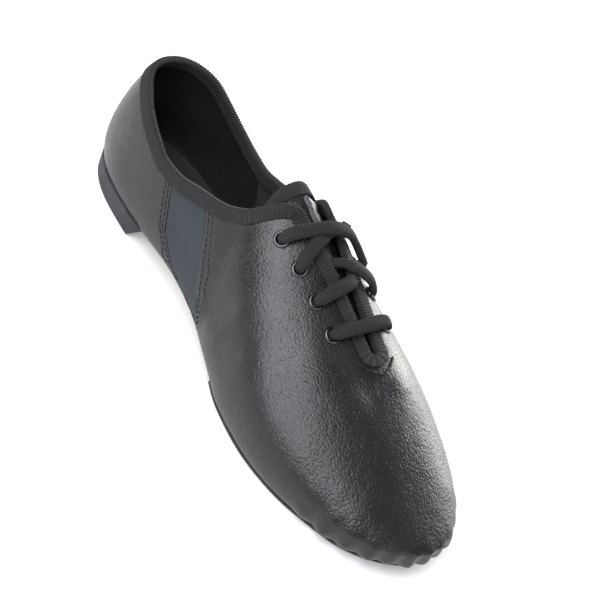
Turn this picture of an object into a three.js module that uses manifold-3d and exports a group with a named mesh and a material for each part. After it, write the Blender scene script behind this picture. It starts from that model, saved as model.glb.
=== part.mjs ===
// Right-foot jazz shoe, unbent on its split sole. Millimetres, +Z up, toe towards -Y,
// outer (lateral) side towards -X. Every form follows one last: a feather line where
// wall meets sole, a widest line above it and a ridge from instep to toe.
import * as THREE from 'three';
import { mergeVertices } from 'three/addons/utils/BufferGeometryUtils.js';
import Module from 'manifold-3d';

const wasm = await Module();
wasm.setup();

const radians = (degrees) => degrees * Math.PI / 180;

// Last
const FEATHER_LENGTH = 238;
const BALL_HALF_WIDTH = 39;
const INSTEP_HEIGHT = 70;
const COLLAR_HEIGHT = 60;
const WIDEST_RISE = 12;
const SIDE_BULGE = 4;
const TOE_SPRING = 4.3;

// Sole
const OUTSOLE_THICKNESS = 2;
const HEEL_HEIGHT = 10;
const OUTSOLE_OVERHANG = 0.8;
const OUTSOLE_TAPER = 0.5;
const HEEL_OVERHANG = 1.5;
const HEEL_TAPER = 1.2;
const INSOLE_THICKNESS = 1.8;
const INSOLE_INSET = 1;

// Upper
const WALL = 1.3;
const MARGIN_WIDTH = 9;
const GAP = 0.3;
const PLEAT_DEPTH = 1.9;
const PLEATS_PER_SIDE = 7;
const PLEAT_PHI = { foot: radians(-90), crest: radians(-45), top: radians(30) };
const GORE_THICKNESS = 0.8;
const GORE_RECESS = 0.4;
const GORE_TUCK = 3;
const GORE_LOW = radians(-56);
const GORE_GAP = 0.65;

// Throat, binding, eyelets and lace
const THROAT_LATERAL_TOP = 7;
const THROAT_MEDIAL_TOP = 10.5;
const THROAT_HALF_END = 2.2;
const TAPE_WIDTH = 5.5;
const TAPE_THICKNESS = 0.7;
const TAPE_CLEARANCE = 0.48;
const EYELET_FROM_EDGE = 13.2;
const EYELET_FLANGE_RADIUS = 3.7;
const EYELET_BARREL_RADIUS = 2.7;
const EYELET_BORE_RADIUS = 2.2;
const EYELET_FLANGE_THICKNESS = 0.7;
const EYELET_ROUNDING = 0.4;
const LACE_WIDTH = 5;
const LACE_THICKNESS = 3;
const LACE_CLEARANCE = 0.4;
const LACE_ARCH = 0.4;

// Tongue
const TONGUE_THICKNESS = 1.5;
const TONGUE_DEPTH = 4;
const TONGUE_FRONT_DEPTH = 2.9;
const TONGUE_HALF_WIDTH = 25;

// Feather line in plan: along is a share of FEATHER_LENGTH from the heel, lateral and
// medial are shares of BALL_HALF_WIDTH.
const OUTLINE = [
  { along: 0.00, lateral: 0.00, medial: 0.00 },
  { along: 0.03, lateral: -0.37, medial: 0.36 },
  { along: 0.10, lateral: -0.56, medial: 0.53 },
  { along: 0.18, lateral: -0.61, medial: 0.57 },
  { along: 0.28, lateral: -0.62, medial: 0.53 },
  { along: 0.40, lateral: -0.65, medial: 0.50 },
  { along: 0.52, lateral: -0.78, medial: 0.69 },
  { along: 0.62, lateral: -0.93, medial: 0.92 },
  { along: 0.70, lateral: -0.98, medial: 1.02 },
  { along: 0.78, lateral: -0.93, medial: 1.02 },
  { along: 0.86, lateral: -0.78, medial: 0.94 },
  { along: 0.93, lateral: -0.59, medial: 0.75 },
  { along: 0.98, lateral: -0.29, medial: 0.46 },
  { along: 1.00, lateral: 0.08, medial: 0.08 },
];

// Side wall: heel_rise is a share of the heel's rise over the forefoot, toe_rise of
// TOE_SPRING, widest of WIDEST_RISE and the bulges of SIDE_BULGE.
const SIDES = [
  { along: 0.000, heel_rise: 1.00, toe_rise: 0.00, widest: 1.35, lateral: 1.00, medial: 1.00 },
  { along: 0.225, heel_rise: 1.00, toe_rise: 0.00, widest: 1.28, lateral: 0.80, medial: 0.80 },
  { along: 0.320, heel_rise: 1.16, toe_rise: 0.00, widest: 1.08, lateral: 0.80, medial: 1.10 },
  { along: 0.420, heel_rise: 0.98, toe_rise: 0.00, widest: 0.96, lateral: 0.85, medial: 1.35 },
  { along: 0.520, heel_rise: 0.38, toe_rise: 0.00, widest: 1.10, lateral: 0.88, medial: 1.30 },
  { along: 0.600, heel_rise: 0.00, toe_rise: 0.00, widest: 1.10, lateral: 0.88, medial: 1.15 },
  { along: 0.800, heel_rise: 0.00, toe_rise: 0.00, widest: 0.85, lateral: 0.82, medial: 0.90 },
  { along: 0.900, heel_rise: 0.00, toe_rise: 0.30, widest: 0.75, lateral: 0.80, medial: 0.80 },
  { along: 1.000, heel_rise: 0.00, toe_rise: 1.00, widest: 0.70, lateral: 0.80, medial: 0.80 },
];

// Ridge over the foot: across is a share of BALL_HALF_WIDTH, height of INSTEP_HEIGHT,
// power shapes how fully each side arches up to it.
const RIDGE = [
  { along: 0.17, across: 0.00, height: 1.25, power: 1.00 },
  { along: 0.30, across: 0.01, height: 1.20, power: 1.00 },
  { along: 0.42, across: 0.06, height: 1.12, power: 1.00 },
  { along: 0.50, across: 0.11, height: 1.00, power: 0.97 },
  { along: 0.60, across: 0.18, height: 0.83, power: 0.96 },
  { along: 0.68, across: 0.22, height: 0.71, power: 0.96 },
  { along: 0.74, across: 0.24, height: 0.64, power: 0.98 },
];

// Top edge: shares of COLLAR_HEIGHT.
const COLLAR = [
  { along: 0.00, lateral: 1.000, medial: 1.000 },
  { along: 0.06, lateral: 0.970, medial: 0.950 },
  { along: 0.11, lateral: 0.910, medial: 0.865 },
  { along: 0.16, lateral: 0.845, medial: 0.800 },
  { along: 0.21, lateral: 0.795, medial: 0.765 },
  { along: 0.25, lateral: 0.810, medial: 0.760 },
  { along: 0.30, lateral: 0.880, medial: 0.810 },
  { along: 0.34, lateral: 0.930, medial: 0.885 },
  { along: 0.37, lateral: 0.980, medial: 0.950 },
  { along: 0.40, lateral: 1.060, medial: 1.035 },
  { along: 0.43, lateral: 1.150, medial: 1.120 },
  { along: 0.46, lateral: 1.220, medial: 1.190 },
];

// Shares of FEATHER_LENGTH where the top edge leaves the collar, turns down the throat
// and ends, and where the pleats start.
const THROAT = { leave: 0.400, corner: 0.465, end: 0.700 };
const PLEATS_FROM = 0.80;

// Shares of FEATHER_LENGTH: the rear edge of the forefoot sole, and the heel's slanted
// front at its top and on the floor.
const OUTSOLE_REAR = 0.555;
const HEEL_BREAST = { top: 0.224, floor: 0.200 };

// Elastic inset at each side: rise runs from its bottom to its top, rear and front are
// shares of FEATHER_LENGTH.
const GORE = [
  { rise: 0.00, rear: 0.400, front: 0.452 },
  { rise: 0.06, rear: 0.372, front: 0.450 },
  { rise: 0.14, rear: 0.350, front: 0.446 },
  { rise: 0.28, rear: 0.330, front: 0.440 },
  { rise: 0.45, rear: 0.314, front: 0.426 },
  { rise: 0.65, rear: 0.296, front: 0.399 },
  { rise: 0.80, rear: 0.275, front: 0.371 },
  { rise: 1.00, rear: 0.243, front: 0.328 },
];

const EYELET_ROWS = [
  { along: 0.478 },
  { along: 0.534 },
  { along: 0.591 },
  { along: 0.648 },
];

// Tongue outline: width is a share of TONGUE_HALF_WIDTH.
const TONGUE = [
  { along: 0.400, width: 0.40 },
  { along: 0.402, width: 0.56 },
  { along: 0.405, width: 0.70 },
  { along: 0.4095, width: 0.83 },
  { along: 0.416, width: 0.925 },
  { along: 0.424, width: 0.98 },
  { along: 0.434, width: 1.00 },
  { along: 0.470, width: 1.00 },
  { along: 0.520, width: 0.97 },
  { along: 0.570, width: 0.90 },
  { along: 0.620, width: 0.82 },
  { along: 0.665, width: 0.73 },
  { along: 0.705, width: 0.61 },
  { along: 0.728, width: 0.48 },
];

const CUT_REACH = 2;
const EYELET_SIDES = 12;
const MERGE_TOLERANCE = 0.03;
const RIDGE_START = RIDGE[0].along * FEATHER_LENGTH;
const RIDGE_END = RIDGE[RIDGE.length - 1].along * FEATHER_LENGTH;
const RIDGE_SOFTNESS = 0.06 * FEATHER_LENGTH;
const FOREFOOT_FEATHER = OUTSOLE_THICKNESS + GAP;
const HEEL_RISE = HEEL_HEIGHT - OUTSOLE_THICKNESS;
const THROAT_MOUTH = THROAT.end - THROAT_HALF_END / FEATHER_LENGTH;
const TAPE_PROUD = TAPE_CLEARANCE + TAPE_THICKNESS;
const LACE_LIFT = TAPE_PROUD + LACE_CLEARANCE + LACE_THICKNESS / 2;

const clamp = (x, low, high) => Math.min(Math.max(x, low), high);
const mix = (a, b, t) => a + (b - a) * t;
const smoothstep = (t) => t * t * (3 - 2 * t);

// Angle round the last's plan, 0 at the heel and PI at the toe, for a share along it.
const angleAt = (along) => Math.acos(clamp(1 - 2 * along, -1, 1));
const alongAt = (angle) => (1 - Math.cos(angle)) / 2;

function hermite(h, t, y0, y1, m0, m1) {
  const s = 1 - t;
  return (1 + 2 * t) * s * s * y0 + t * s * s * h * m0
    + t * t * (3 - 2 * t) * y1 - t * t * s * h * m1;
}

// Value of a table's column at x, smooth through its rows and without overshoot.
function column(table, name, x, key = 'along') {
  const last = table.length - 1;
  const at = clamp(x, table[0][key], table[last][key]);
  let i = 0;
  while (i < last - 1 && at > table[i + 1][key]) {
    i += 1;
  }
  const slope = (k) => (table[k + 1][name] - table[k][name]) / (table[k + 1][key] - table[k][key]);
  const tangent = (k) => {
    if (k === 0 || k === last) {
      return slope(k === 0 ? 0 : last - 1);
    }
    const a = slope(k - 1);
    const b = slope(k);
    return a * b > 0 ? 2 * a * b / (a + b) : 0;
  };
  const h = table[i + 1][key] - table[i][key];
  return hermite(h, (at - table[i][key]) / h, table[i][name], table[i + 1][name], tangent(i), tangent(i + 1));
}

// The outline is smooth in the angle round the plan, so that heel and toe are round.
function outline(name, angle) {
  const last = OUTLINE.length - 1;
  const key = (k) => angleAt(OUTLINE[k].along);
  let i = 0;
  while (i < last - 1 && angle > key(i + 1)) {
    i += 1;
  }
  const slope = (k) => (OUTLINE[k + 1][name] - OUTLINE[k][name]) / (key(k + 1) - key(k));
  const inner = (k) => {
    const before = key(k) - key(k - 1);
    const after = key(k + 1) - key(k);
    return (slope(k - 1) * after + slope(k) * before) / (before + after);
  };
  const tangent = (k) => {
    if (k === 0) {
      return 2 * slope(0) - inner(1);
    }
    return k === last ? 2 * slope(last - 1) - inner(last - 1) : inner(k);
  };
  const h = key(i + 1) - key(i);
  const x = hermite(h, (angle - key(i)) / h, OUTLINE[i][name], OUTLINE[i + 1][name], tangent(i), tangent(i + 1));
  return x * BALL_HALF_WIDTH;
}

function softMin(a, b, r) {
  const h = clamp(0.5 + 0.5 * (b - a) / r, 0, 1);
  return mix(b, a, h) - r * h * (1 - h);
}

const sideOf = (v) => (v < 0 ? 'lateral' : 'medial');

// Height of the feather line over the floor, for a distance from the heel.
function featherHeight(distance) {
  const along = distance / FEATHER_LENGTH;
  return FOREFOOT_FEATHER + column(SIDES, 'heel_rise', along) * HEEL_RISE
    + column(SIDES, 'toe_rise', along) * TOE_SPRING;
}

// Point of the plan, offset outwards. v is the angle round the plan, negative on the
// lateral side. Distances from the heel turn into -Y here.
function planPoint(v, offset) {
  const side = sideOf(v);
  const angle = Math.abs(v);
  const e = 1e-3;
  const before = Math.max(angle - e, 0);
  const after = Math.min(angle + e, Math.PI);
  const tx = outline(side, after) - outline(side, before);
  const ty = (alongAt(after) - alongAt(before)) * FEATHER_LENGTH;
  const size = Math.hypot(tx, ty);
  const sign = v < 0 ? -1 : 1;
  let nx = sign * ty / size;
  let ny = -sign * tx / size;
  if (angle < e || angle > Math.PI - e) {
    nx = 0;
    ny = angle < e ? -1 : 1;
  }
  const distance = alongAt(angle) * FEATHER_LENGTH + offset * ny;
  return { x: outline(side, angle) + offset * nx, distance, nx, ny };
}

// Height of the toe's pleats over the last: deepest at the crest angle, gone at the top.
function pleat(v, phi) {
  const start = angleAt(PLEATS_FROM);
  const k = (Math.abs(v) - start) / (Math.PI - start);
  if (k <= 0) {
    return 0;
  }
  const wave = 0.5 + 0.5 * Math.cos(2 * Math.PI * k * PLEATS_PER_SIDE);
  const { foot, crest, top } = PLEAT_PHI;
  const fade = phi < crest
    ? mix(0.3, 1, (phi - foot) / (crest - foot))
    : 0.5 + 0.5 * Math.cos(Math.PI * clamp((phi - crest) / (top - crest), 0, 1));
  return PLEAT_DEPTH * wave * fade * smoothstep(clamp(k * 5, 0, 1));
}

// The last's column at v: feather point, widest point and ridge point.
function columnAt(v) {
  const side = sideOf(v);
  const foot = planPoint(v, 0);
  const along = foot.distance / FEATHER_LENGTH;
  const bulge = column(SIDES, side, along) * SIDE_BULGE;
  const wide = planPoint(v, bulge);
  const low = featherHeight(foot.distance);
  const high = low + column(SIDES, 'widest', along) * WIDEST_RISE;
  const reach = softMin(foot.distance, RIDGE_END, RIDGE_SOFTNESS);
  const ridge = -softMin(-reach, -RIDGE_START, RIDGE_SOFTNESS);
  const share = ridge / FEATHER_LENGTH;
  return {
    foot: new THREE.Vector3(foot.x, foot.distance, low),
    wide: new THREE.Vector3(wide.x, wide.distance, high),
    ridge: new THREE.Vector3(
      column(RIDGE, 'across', share) * BALL_HALF_WIDTH,
      ridge,
      column(RIDGE, 'height', share) * INSTEP_HEIGHT,
    ),
    power: column(RIDGE, 'power', share),
    out: foot,
  };
}

const RIDGE_SLOPE = (RIDGE[RIDGE.length - 2].height - RIDGE[RIDGE.length - 1].height) * INSTEP_HEIGHT
  / (RIDGE_END - RIDGE[RIDGE.length - 2].along * FEATHER_LENGTH);

// Surface of the last: phi is -90 degrees at the feather line, 0 at the widest line and
// 90 at the ridge, past which the other side follows.
function surface(vIn, phiIn) {
  let v = vIn;
  let phi = phiIn;
  if (phi > Math.PI / 2) {
    v = -v;
    phi = Math.PI - phi;
  }
  if (Math.abs(v) > Math.PI) {
    v -= Math.sign(v) * 2 * Math.PI;
  }
  const c = columnAt(v);
  const cos = Math.cos(phi);
  const end = phi < 0 ? c.foot : c.ridge;
  const p = new THREE.Vector3().lerpVectors(end, c.wide, cos);
  if (phi < 0) {
    p.z = mix(c.foot.z, c.wide.z, 1 + Math.sin(phi));
  } else {
    const q = Math.sin(phi) ** c.power;
    const past = c.ridge.y > RIDGE_START * 1.5 ? Math.max(0, p.y - c.ridge.y) : 0;
    p.z = mix(c.wide.z, c.ridge.z, q) - RIDGE_SLOPE * past * q;
  }
  const fold = pleat(v, phi);
  p.x += fold * c.out.nx;
  p.y += fold * c.out.ny;
  return new THREE.Vector3(p.x, FEATHER_LENGTH / 2 - p.y, p.z);
}

function slopes(form, a, b) {
  const e = 2e-3;
  return {
    da: form(a + e, b).sub(form(a - e, b)).divideScalar(2 * e),
    db: form(a, b + e).sub(form(a, b - e)).divideScalar(2 * e),
  };
}

function normalAt(form, a, b) {
  const { da, db } = slopes(form, a, b);
  return db.cross(da).normalize();
}

// Point of a form lifted off it along its outward normal.
function lifted(form, a, b, lift) {
  return form(a, b).addScaledVector(normalAt(form, a, b), lift);
}

// Moves phi so that the column is followed by the given length, up when positive.
function climb(v, phi, length) {
  const steps = 10;
  let at = phi;
  for (let i = 0; i < steps; i += 1) {
    const rate = surface(v, at).distanceTo(surface(v, at - 2e-3)) / 2e-3;
    at += length / steps / rate;
  }
  return at;
}

// Half the throat's width, wide at the facings' corners, which ends in a round of
// THROAT_HALF_END.
function throatHalf(along, side) {
  const t = clamp((along - THROAT.corner) / (THROAT_MOUTH - THROAT.corner), 0, 1);
  const round = clamp((along - THROAT_MOUTH) / (THROAT.end - THROAT_MOUTH), 0, 1);
  const top = side === 'medial' ? THROAT_MEDIAL_TOP : THROAT_LATERAL_TOP;
  return mix(THROAT_HALF_END, top, (1 - t) ** 2) * Math.sqrt(1 - round * round);
}

// phi where a column is the given length down from the ridge.
const phiBeside = (v, across) => climb(v, Math.PI / 2, -across);

// Top edge of the upper: the collar, then the throat, then closed over the toes.
function edgePhi(v) {
  const along = alongAt(Math.abs(v));
  if (along >= THROAT.end - 1e-6) {
    return Math.PI / 2;
  }
  const c = columnAt(v);
  const height = column(COLLAR, sideOf(v), along) * COLLAR_HEIGHT;
  const rise = clamp((height - c.wide.z) / (c.ridge.z - c.wide.z), 0, 1);
  const collar = Math.asin(rise ** (1 / c.power));
  const throat = phiBeside(v, throatHalf(along, sideOf(v)));
  const t = clamp((along - THROAT.leave) / (THROAT.corner - THROAT.leave), 0, 1);
  return mix(collar, throat, smoothstep(t));
}

function geometry(positions, triangles) {
  const made = new THREE.BufferGeometry();
  made.setAttribute('position', new THREE.BufferAttribute(new Float32Array(positions), 3));
  made.setIndex(triangles);
  return made;
}

function volume(made) {
  const p = made.attributes.position;
  const index = made.index.array;
  const a = new THREE.Vector3();
  const b = new THREE.Vector3();
  const c = new THREE.Vector3();
  let sum = 0;
  for (let i = 0; i < index.length; i += 3) {
    a.fromBufferAttribute(p, index[i]);
    b.fromBufferAttribute(p, index[i + 1]);
    c.fromBufferAttribute(p, index[i + 2]);
    sum += a.dot(b.cross(c)) / 6;
  }
  return sum;
}

function facesOut(made) {
  if (volume(made) < 0) {
    const index = made.index.array;
    for (let i = 0; i < index.length; i += 3) {
      [index[i], index[i + 1]] = [index[i + 1], index[i]];
    }
  }
  return made;
}

// Closed body from triangles that may share places; needles without area are dropped.
function closed(points, triangles) {
  const keys = new Map();
  const positions = [];
  const index = points.map((p) => {
    const key = `${Math.round(p.x * 100)},${Math.round(p.y * 100)},${Math.round(p.z * 100)}`;
    if (!keys.has(key)) {
      keys.set(key, positions.length / 3);
      positions.push(p.x, p.y, p.z);
    }
    return keys.get(key);
  });
  const kept = [];
  for (const [a, b, c] of triangles) {
    const [i, j, k] = [index[a], index[b], index[c]];
    if (i !== j && j !== k && k !== i) {
      kept.push(i, j, k);
    }
  }
  return facesOut(geometry(positions, kept));
}

// Thick sheet over a grid of points: rows of equal length, joined round when wrapped.
function sheet(rows, wrapped, from, to) {
  const width = rows[0].length;
  const base = rows.flat();
  const cells = [];
  for (let r = 0; r + 1 < rows.length; r += 1) {
    for (let c = 0; c < (wrapped ? width : width - 1); c += 1) {
      const d = (c + 1) % width;
      const [a, b] = [r * width + c, r * width + d];
      cells.push([a, b, b + width], [a, b + width, a + width]);
    }
  }
  const skin = closed(base, cells);
  const flat = skin.attributes.position;
  const index = Array.from(skin.index.array);
  const count = flat.count;
  const at = Array.from({ length: count }, (_, i) => new THREE.Vector3().fromBufferAttribute(flat, i));
  const normals = at.map(() => new THREE.Vector3());
  const edges = new Map();
  for (let i = 0; i < index.length; i += 3) {
    const [a, b, c] = index.slice(i, i + 3);
    const n = at[b].clone().sub(at[a]).cross(at[c].clone().sub(at[a]));
    for (const k of [a, b, c]) {
      normals[k].add(n);
    }
    for (const [p, q] of [[a, b], [b, c], [c, a]]) {
      edges.set(`${p},${q}`, [p, q]);
    }
  }
  const middle = at.reduce((sum, p) => sum.add(p), new THREE.Vector3()).divideScalar(count);
  const outward = at.reduce((sum, p, i) => sum + p.clone().sub(middle).dot(normals[i]), 0) < 0 ? -1 : 1;
  normals.forEach((n) => n.normalize().multiplyScalar(outward));
  const points = [];
  at.forEach((p, i) => points.push(p.clone().addScaledVector(normals[i], from)));
  at.forEach((p, i) => points.push(p.clone().addScaledVector(normals[i], to)));
  const triangles = [];
  for (let i = 0; i < index.length; i += 3) {
    const [a, b, c] = index.slice(i, i + 3);
    triangles.push(a, b, c, count + a, count + c, count + b);
  }
  for (const [a, b] of edges.values()) {
    if (!edges.has(`${b},${a}`)) {
      triangles.push(b, a, count + a, b, count + a, count + b);
    }
  }
  return facesOut(geometry(points.flatMap((p) => [p.x, p.y, p.z]), triangles));
}

// Body along rings of equal length, capped unless it runs round.
function swept(rings, round, cap = fan(rings[0].length)) {
  const width = rings[0].length;
  const triangles = [];
  const last = round ? rings.length : rings.length - 1;
  for (let r = 0; r < last; r += 1) {
    const s = (r + 1) % rings.length;
    for (let c = 0; c < width; c += 1) {
      const d = (c + 1) % width;
      triangles.push([r * width + c, r * width + d, s * width + d]);
      triangles.push([r * width + c, s * width + d, s * width + c]);
    }
  }
  if (!round) {
    const end = (rings.length - 1) * width;
    for (const [a, b, c] of cap) {
      triangles.push([a, c, b], [end + a, end + b, end + c]);
    }
  }
  return closed(rings.flat(), triangles);
}

function fan(count) {
  const faces = [];
  for (let i = 1; i + 1 < count; i += 1) {
    faces.push([0, i, i + 1]);
  }
  return faces;
}

// The tape's section folds over an edge: depth runs down from the edge, lift off the
// outer face.
function tapeSection(wall) {
  const low = -wall - TAPE_CLEARANCE;
  const out = TAPE_PROUD;
  const under = -wall - TAPE_PROUD;
  return [
    { depth: TAPE_WIDTH, lift: out },
    { depth: TAPE_WIDTH / 2, lift: out },
    { depth: 0, lift: out },
    { depth: -TAPE_PROUD, lift: out - TAPE_THICKNESS },
    { depth: -TAPE_PROUD, lift: under + TAPE_THICKNESS },
    { depth: 0, lift: under },
    { depth: TAPE_WIDTH, lift: under },
    { depth: TAPE_WIDTH, lift: low },
    { depth: -TAPE_CLEARANCE, lift: low },
    { depth: -TAPE_CLEARANCE, lift: TAPE_CLEARANCE },
    { depth: TAPE_WIDTH / 2, lift: TAPE_CLEARANCE },
    { depth: TAPE_WIDTH, lift: TAPE_CLEARANCE },
  ];
}

const TAPE_CAP = [
  [0, 1, 10], [0, 10, 11], [1, 2, 9], [1, 9, 10], [2, 3, 9], [3, 4, 8], [3, 8, 9], [4, 5, 8],
  [5, 6, 7], [5, 7, 8],
];

// Folded tape along an edge of a form, whose stations are its two parameters there.
function tape(form, stations, wall, round) {
  const section = tapeSection(wall);
  const count = stations.length;
  const places = stations.map(([a, b]) => form(a, b));
  const rings = stations.map(([a, b], i) => {
    const before = places[round ? (i + count - 1) % count : Math.max(i - 1, 0)];
    const after = places[round ? (i + 1) % count : Math.min(i + 1, count - 1)];
    const { da, db } = slopes(form, a, b);
    const n = db.clone().cross(da).normalize();
    const t = after.clone().sub(before).normalize();
    const down = n.clone().cross(t).normalize();
    const [aa, ab, bb] = [da.dot(da), da.dot(db), db.dot(db)];
    const det = aa * bb - ab * ab;
    return section.map(({ depth, lift }) => {
      if (depth <= 0) {
        return places[i].clone().addScaledVector(down, depth).addScaledVector(n, lift);
      }
      const [ra, rb] = [depth * down.dot(da), depth * down.dot(db)];
      const [sa, sb] = [(ra * bb - rb * ab) / det, (rb * aa - ra * ab) / det];
      return lifted(form, a + sa, b + sb, lift);
    });
  });
  return swept(rings, round, TAPE_CAP);
}

// Lace along a path of points with normals: a flattened cord.
function cordAlong(path, samples) {
  const curve = new THREE.CatmullRomCurve3(path.map((p) => p.at));
  const lifts = new THREE.CatmullRomCurve3(path.map((p) => p.normal));
  const rings = [];
  for (let i = 0; i <= samples; i += 1) {
    const t = i / samples;
    const along = curve.getTangent(t);
    const across = along.clone().cross(lifts.getPoint(t)).normalize();
    const up = across.clone().cross(along).normalize();
    const ring = [];
    for (let k = 0; k < 8; k += 1) {
      const turn = 2 * Math.PI * (k + 0.5) / 8;
      ring.push(curve.getPoint(t)
        .addScaledVector(across, Math.cos(turn) * LACE_WIDTH / 2)
        .addScaledVector(up, Math.sin(turn) * LACE_THICKNESS / 2));
    }
    rings.push(ring);
  }
  return swept(rings, false);
}

// Plate between two faces, each given by side and station from back to front.
function plate(stations, top, bottom) {
  const rings = stations.map((s) => [top(-1, s), top(1, s), bottom(1, s), bottom(-1, s)]);
  return swept(rings, false);
}

function solid(made) {
  const bare = made.clone();
  bare.deleteAttribute('normal');
  bare.deleteAttribute('uv');
  const merged = mergeVertices(bare, 1e-4);
  return new wasm.Manifold(new wasm.Mesh({
    numProp: 3,
    vertProperties: new Float32Array(merged.attributes.position.array),
    triVerts: new Uint32Array(merged.index.array),
  }));
}

function fromSolid(body) {
  const mesh = body.simplify(MERGE_TOLERANCE).getMesh();
  const made = new THREE.BufferGeometry();
  made.setAttribute('position', new THREE.BufferAttribute(Float32Array.from(mesh.vertProperties), 3));
  made.setIndex(Array.from(mesh.triVerts));
  return made;
}

// Columns of the upper from heel to toe, as shares of FEATHER_LENGTH.
const between = (from, to, count) => Array.from({ length: count }, (_, i) => mix(from, to, i / count));
const REAR_ALONG = [
  ...between(0, THROAT.leave, 15).map((s) => s * s / THROAT.leave * 0.4 + s * 0.6),
  ...between(THROAT.leave, THROAT.corner, 6),
  ...between(THROAT.corner, THROAT_MOUTH, 9),
  ...[0, 0.5, 0.87].map((t) => mix(THROAT_MOUTH, THROAT.end, t)),
];
const FRONT_ALONG = between(THROAT.end, PLEATS_FROM, 5);
const rearAngles = REAR_ALONG.map(angleAt);
const frontAngles = FRONT_ALONG.map(angleAt);
const pleatAngles = Array.from({ length: 2 * PLEATS_PER_SIDE }, (_, i) => (
  mix(angleAt(PLEATS_FROM), Math.PI, i / (2 * PLEATS_PER_SIDE))
));
const sideAngles = [...rearAngles, ...frontAngles, ...pleatAngles];
const upperColumns = [
  ...sideAngles,
  Math.PI,
  ...sideAngles.slice(1).reverse().map((v) => -v),
];

function marginPoint(v) {
  const inner = planPoint(v, -MARGIN_WIDTH);
  return new THREE.Vector3(inner.x, FEATHER_LENGTH / 2 - inner.distance, featherHeight(inner.distance));
}

const LOW_ROWS = [-90, -68, -45, -20].map(radians);
const HIGH_ROWS = [0, 0.16, 0.33, 0.5, 0.67, 0.84, 1];

function upperGrid() {
  return [
    upperColumns.map(marginPoint),
    ...LOW_ROWS.map((phi) => upperColumns.map((v) => surface(v, phi))),
    ...HIGH_ROWS.map((t) => upperColumns.map((v) => surface(v, edgePhi(v) * t))),
  ];
}

// Patch of the wall that the elastic fills, grown by a margin all round.
function goreGrid(side, grow) {
  const rises = [0, 0.04, 0.08, 0.13, 0.19, 0.28, 0.42, 0.6, 0.8, 1];
  const parts = [0, 0.2, 0.4, 0.6, 0.8, 1];
  const along = (name, rise) => column(GORE, name, clamp(rise, 0, 1), 'rise');
  const place = (v, rise, margin) => {
    const low = climb(v, GORE_LOW, -margin);
    const high = climb(v, edgePhi(v), margin - GORE_TUCK);
    return surface(v, mix(low, high, rise));
  };
  const edge = (name, rise, outward) => {
    const [below, above] = [clamp(rise - 0.04, 0, 1), clamp(rise + 0.04, 0, 1)];
    const from = place(side * angleAt(along(name, below)), below, 0);
    const to = place(side * angleAt(along(name, above)), above, 0);
    const lean = (to.y - from.y) / Math.hypot(to.x - from.x, to.z - from.z);
    return along(name, rise) + outward * grow * Math.hypot(1, lean) / FEATHER_LENGTH;
  };
  return rises.map((rise) => {
    const rear = edge('rear', rise, -1);
    const front = edge('front', rise, 1);
    return parts.map((part) => place(side * angleAt(mix(rear, front, part)), rise, grow));
  });
}

const eyeletPlaces = EYELET_ROWS.flatMap(({ along }, row) => [-1, 1].map((side) => {
  const v = side * angleAt(along);
  const phi = climb(v, edgePhi(v), -EYELET_FROM_EDGE);
  return {
    name: `eyelet_${side < 0 ? 'lateral' : 'medial'}_${row + 1}`,
    side,
    row,
    v,
    phi,
    at: surface(v, phi),
    normal: normalAt(surface, v, phi),
  };
}));

function placedOn(made, { at, normal }) {
  made.applyQuaternion(new THREE.Quaternion().setFromUnitVectors(new THREE.Vector3(0, 1, 0), normal));
  return made.translate(at.x, at.y, at.z);
}

function makeUpper() {
  let body = solid(sheet(upperGrid(), true, 0, -WALL));
  for (const side of [-1, 1]) {
    body = body.subtract(solid(sheet(goreGrid(side, GORE_GAP), false, CUT_REACH, -WALL - CUT_REACH / 2)));
  }
  for (const place of eyeletPlaces) {
    const radius = EYELET_BARREL_RADIUS + GAP;
    const hole = new THREE.CylinderGeometry(radius, radius, 4 * CUT_REACH, EYELET_SIDES);
    body = body.subtract(solid(placedOn(hole, place)));
  }
  return fromSolid(body);
}

function makeEyelet(place) {
  const reach = -WALL - GAP - EYELET_ROUNDING;
  const profile = [
    [EYELET_BORE_RADIUS, reach],
    [EYELET_BARREL_RADIUS, reach],
    [EYELET_BARREL_RADIUS, GAP],
    [EYELET_FLANGE_RADIUS, GAP],
    [EYELET_FLANGE_RADIUS - EYELET_ROUNDING, GAP + EYELET_FLANGE_THICKNESS],
    [EYELET_BORE_RADIUS + EYELET_ROUNDING, GAP + EYELET_FLANGE_THICKNESS],
    [EYELET_BORE_RADIUS, reach],
  ].map(([x, y]) => new THREE.Vector2(x, y));
  const made = new THREE.LatheGeometry(profile, EYELET_SIDES);
  made.deleteAttribute('normal');
  made.deleteAttribute('uv');
  return facesOut(mergeVertices(placedOn(made, place), 1e-4));
}

// The tongue lies this deep under the last, less where it thins out under the vamp.
function tongueDepth(along) {
  const t = clamp((along - THROAT.end - 0.02) / 0.02, 0, 1);
  return mix(TONGUE_DEPTH, TONGUE_FRONT_DEPTH, smoothstep(t));
}

// Outer face of the tongue: along the last, and a share of TONGUE_HALF_WIDTH across
// from the ridge.
function tongueForm(along, across) {
  const v = (across < 0 ? -1 : 1) * angleAt(along);
  const phi = phiBeside(v, Math.abs(across) * TONGUE_HALF_WIDTH);
  const n = normalAt(surface, v, phi);
  return surface(v, phi).addScaledVector(n, -tongueDepth(along));
}

// The tape reads a form by two parameters of like direction to the upper's.
const tongueByAcross = (across, along) => tongueForm(clamp(along, 0.3, 0.74), across);

function makeTongue() {
  const parts = [-1, -0.82, -0.6, -0.36, -0.12, 0.12, 0.36, 0.6, 0.82, 1];
  const count = parts.length;
  const rings = TONGUE.map(({ along, width }) => [
    ...parts.map((part) => tongueForm(along, part * width)),
    ...parts.map((part) => lifted(tongueByAcross, part * width, along, -TONGUE_THICKNESS)).reverse(),
  ]);
  const cap = parts.slice(1).flatMap((_, i) => {
    const under = 2 * count - 1 - i;
    return [[i, i + 1, under - 1], [i, under - 1, under]];
  });
  return swept(rings, false, cap);
}

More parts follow.
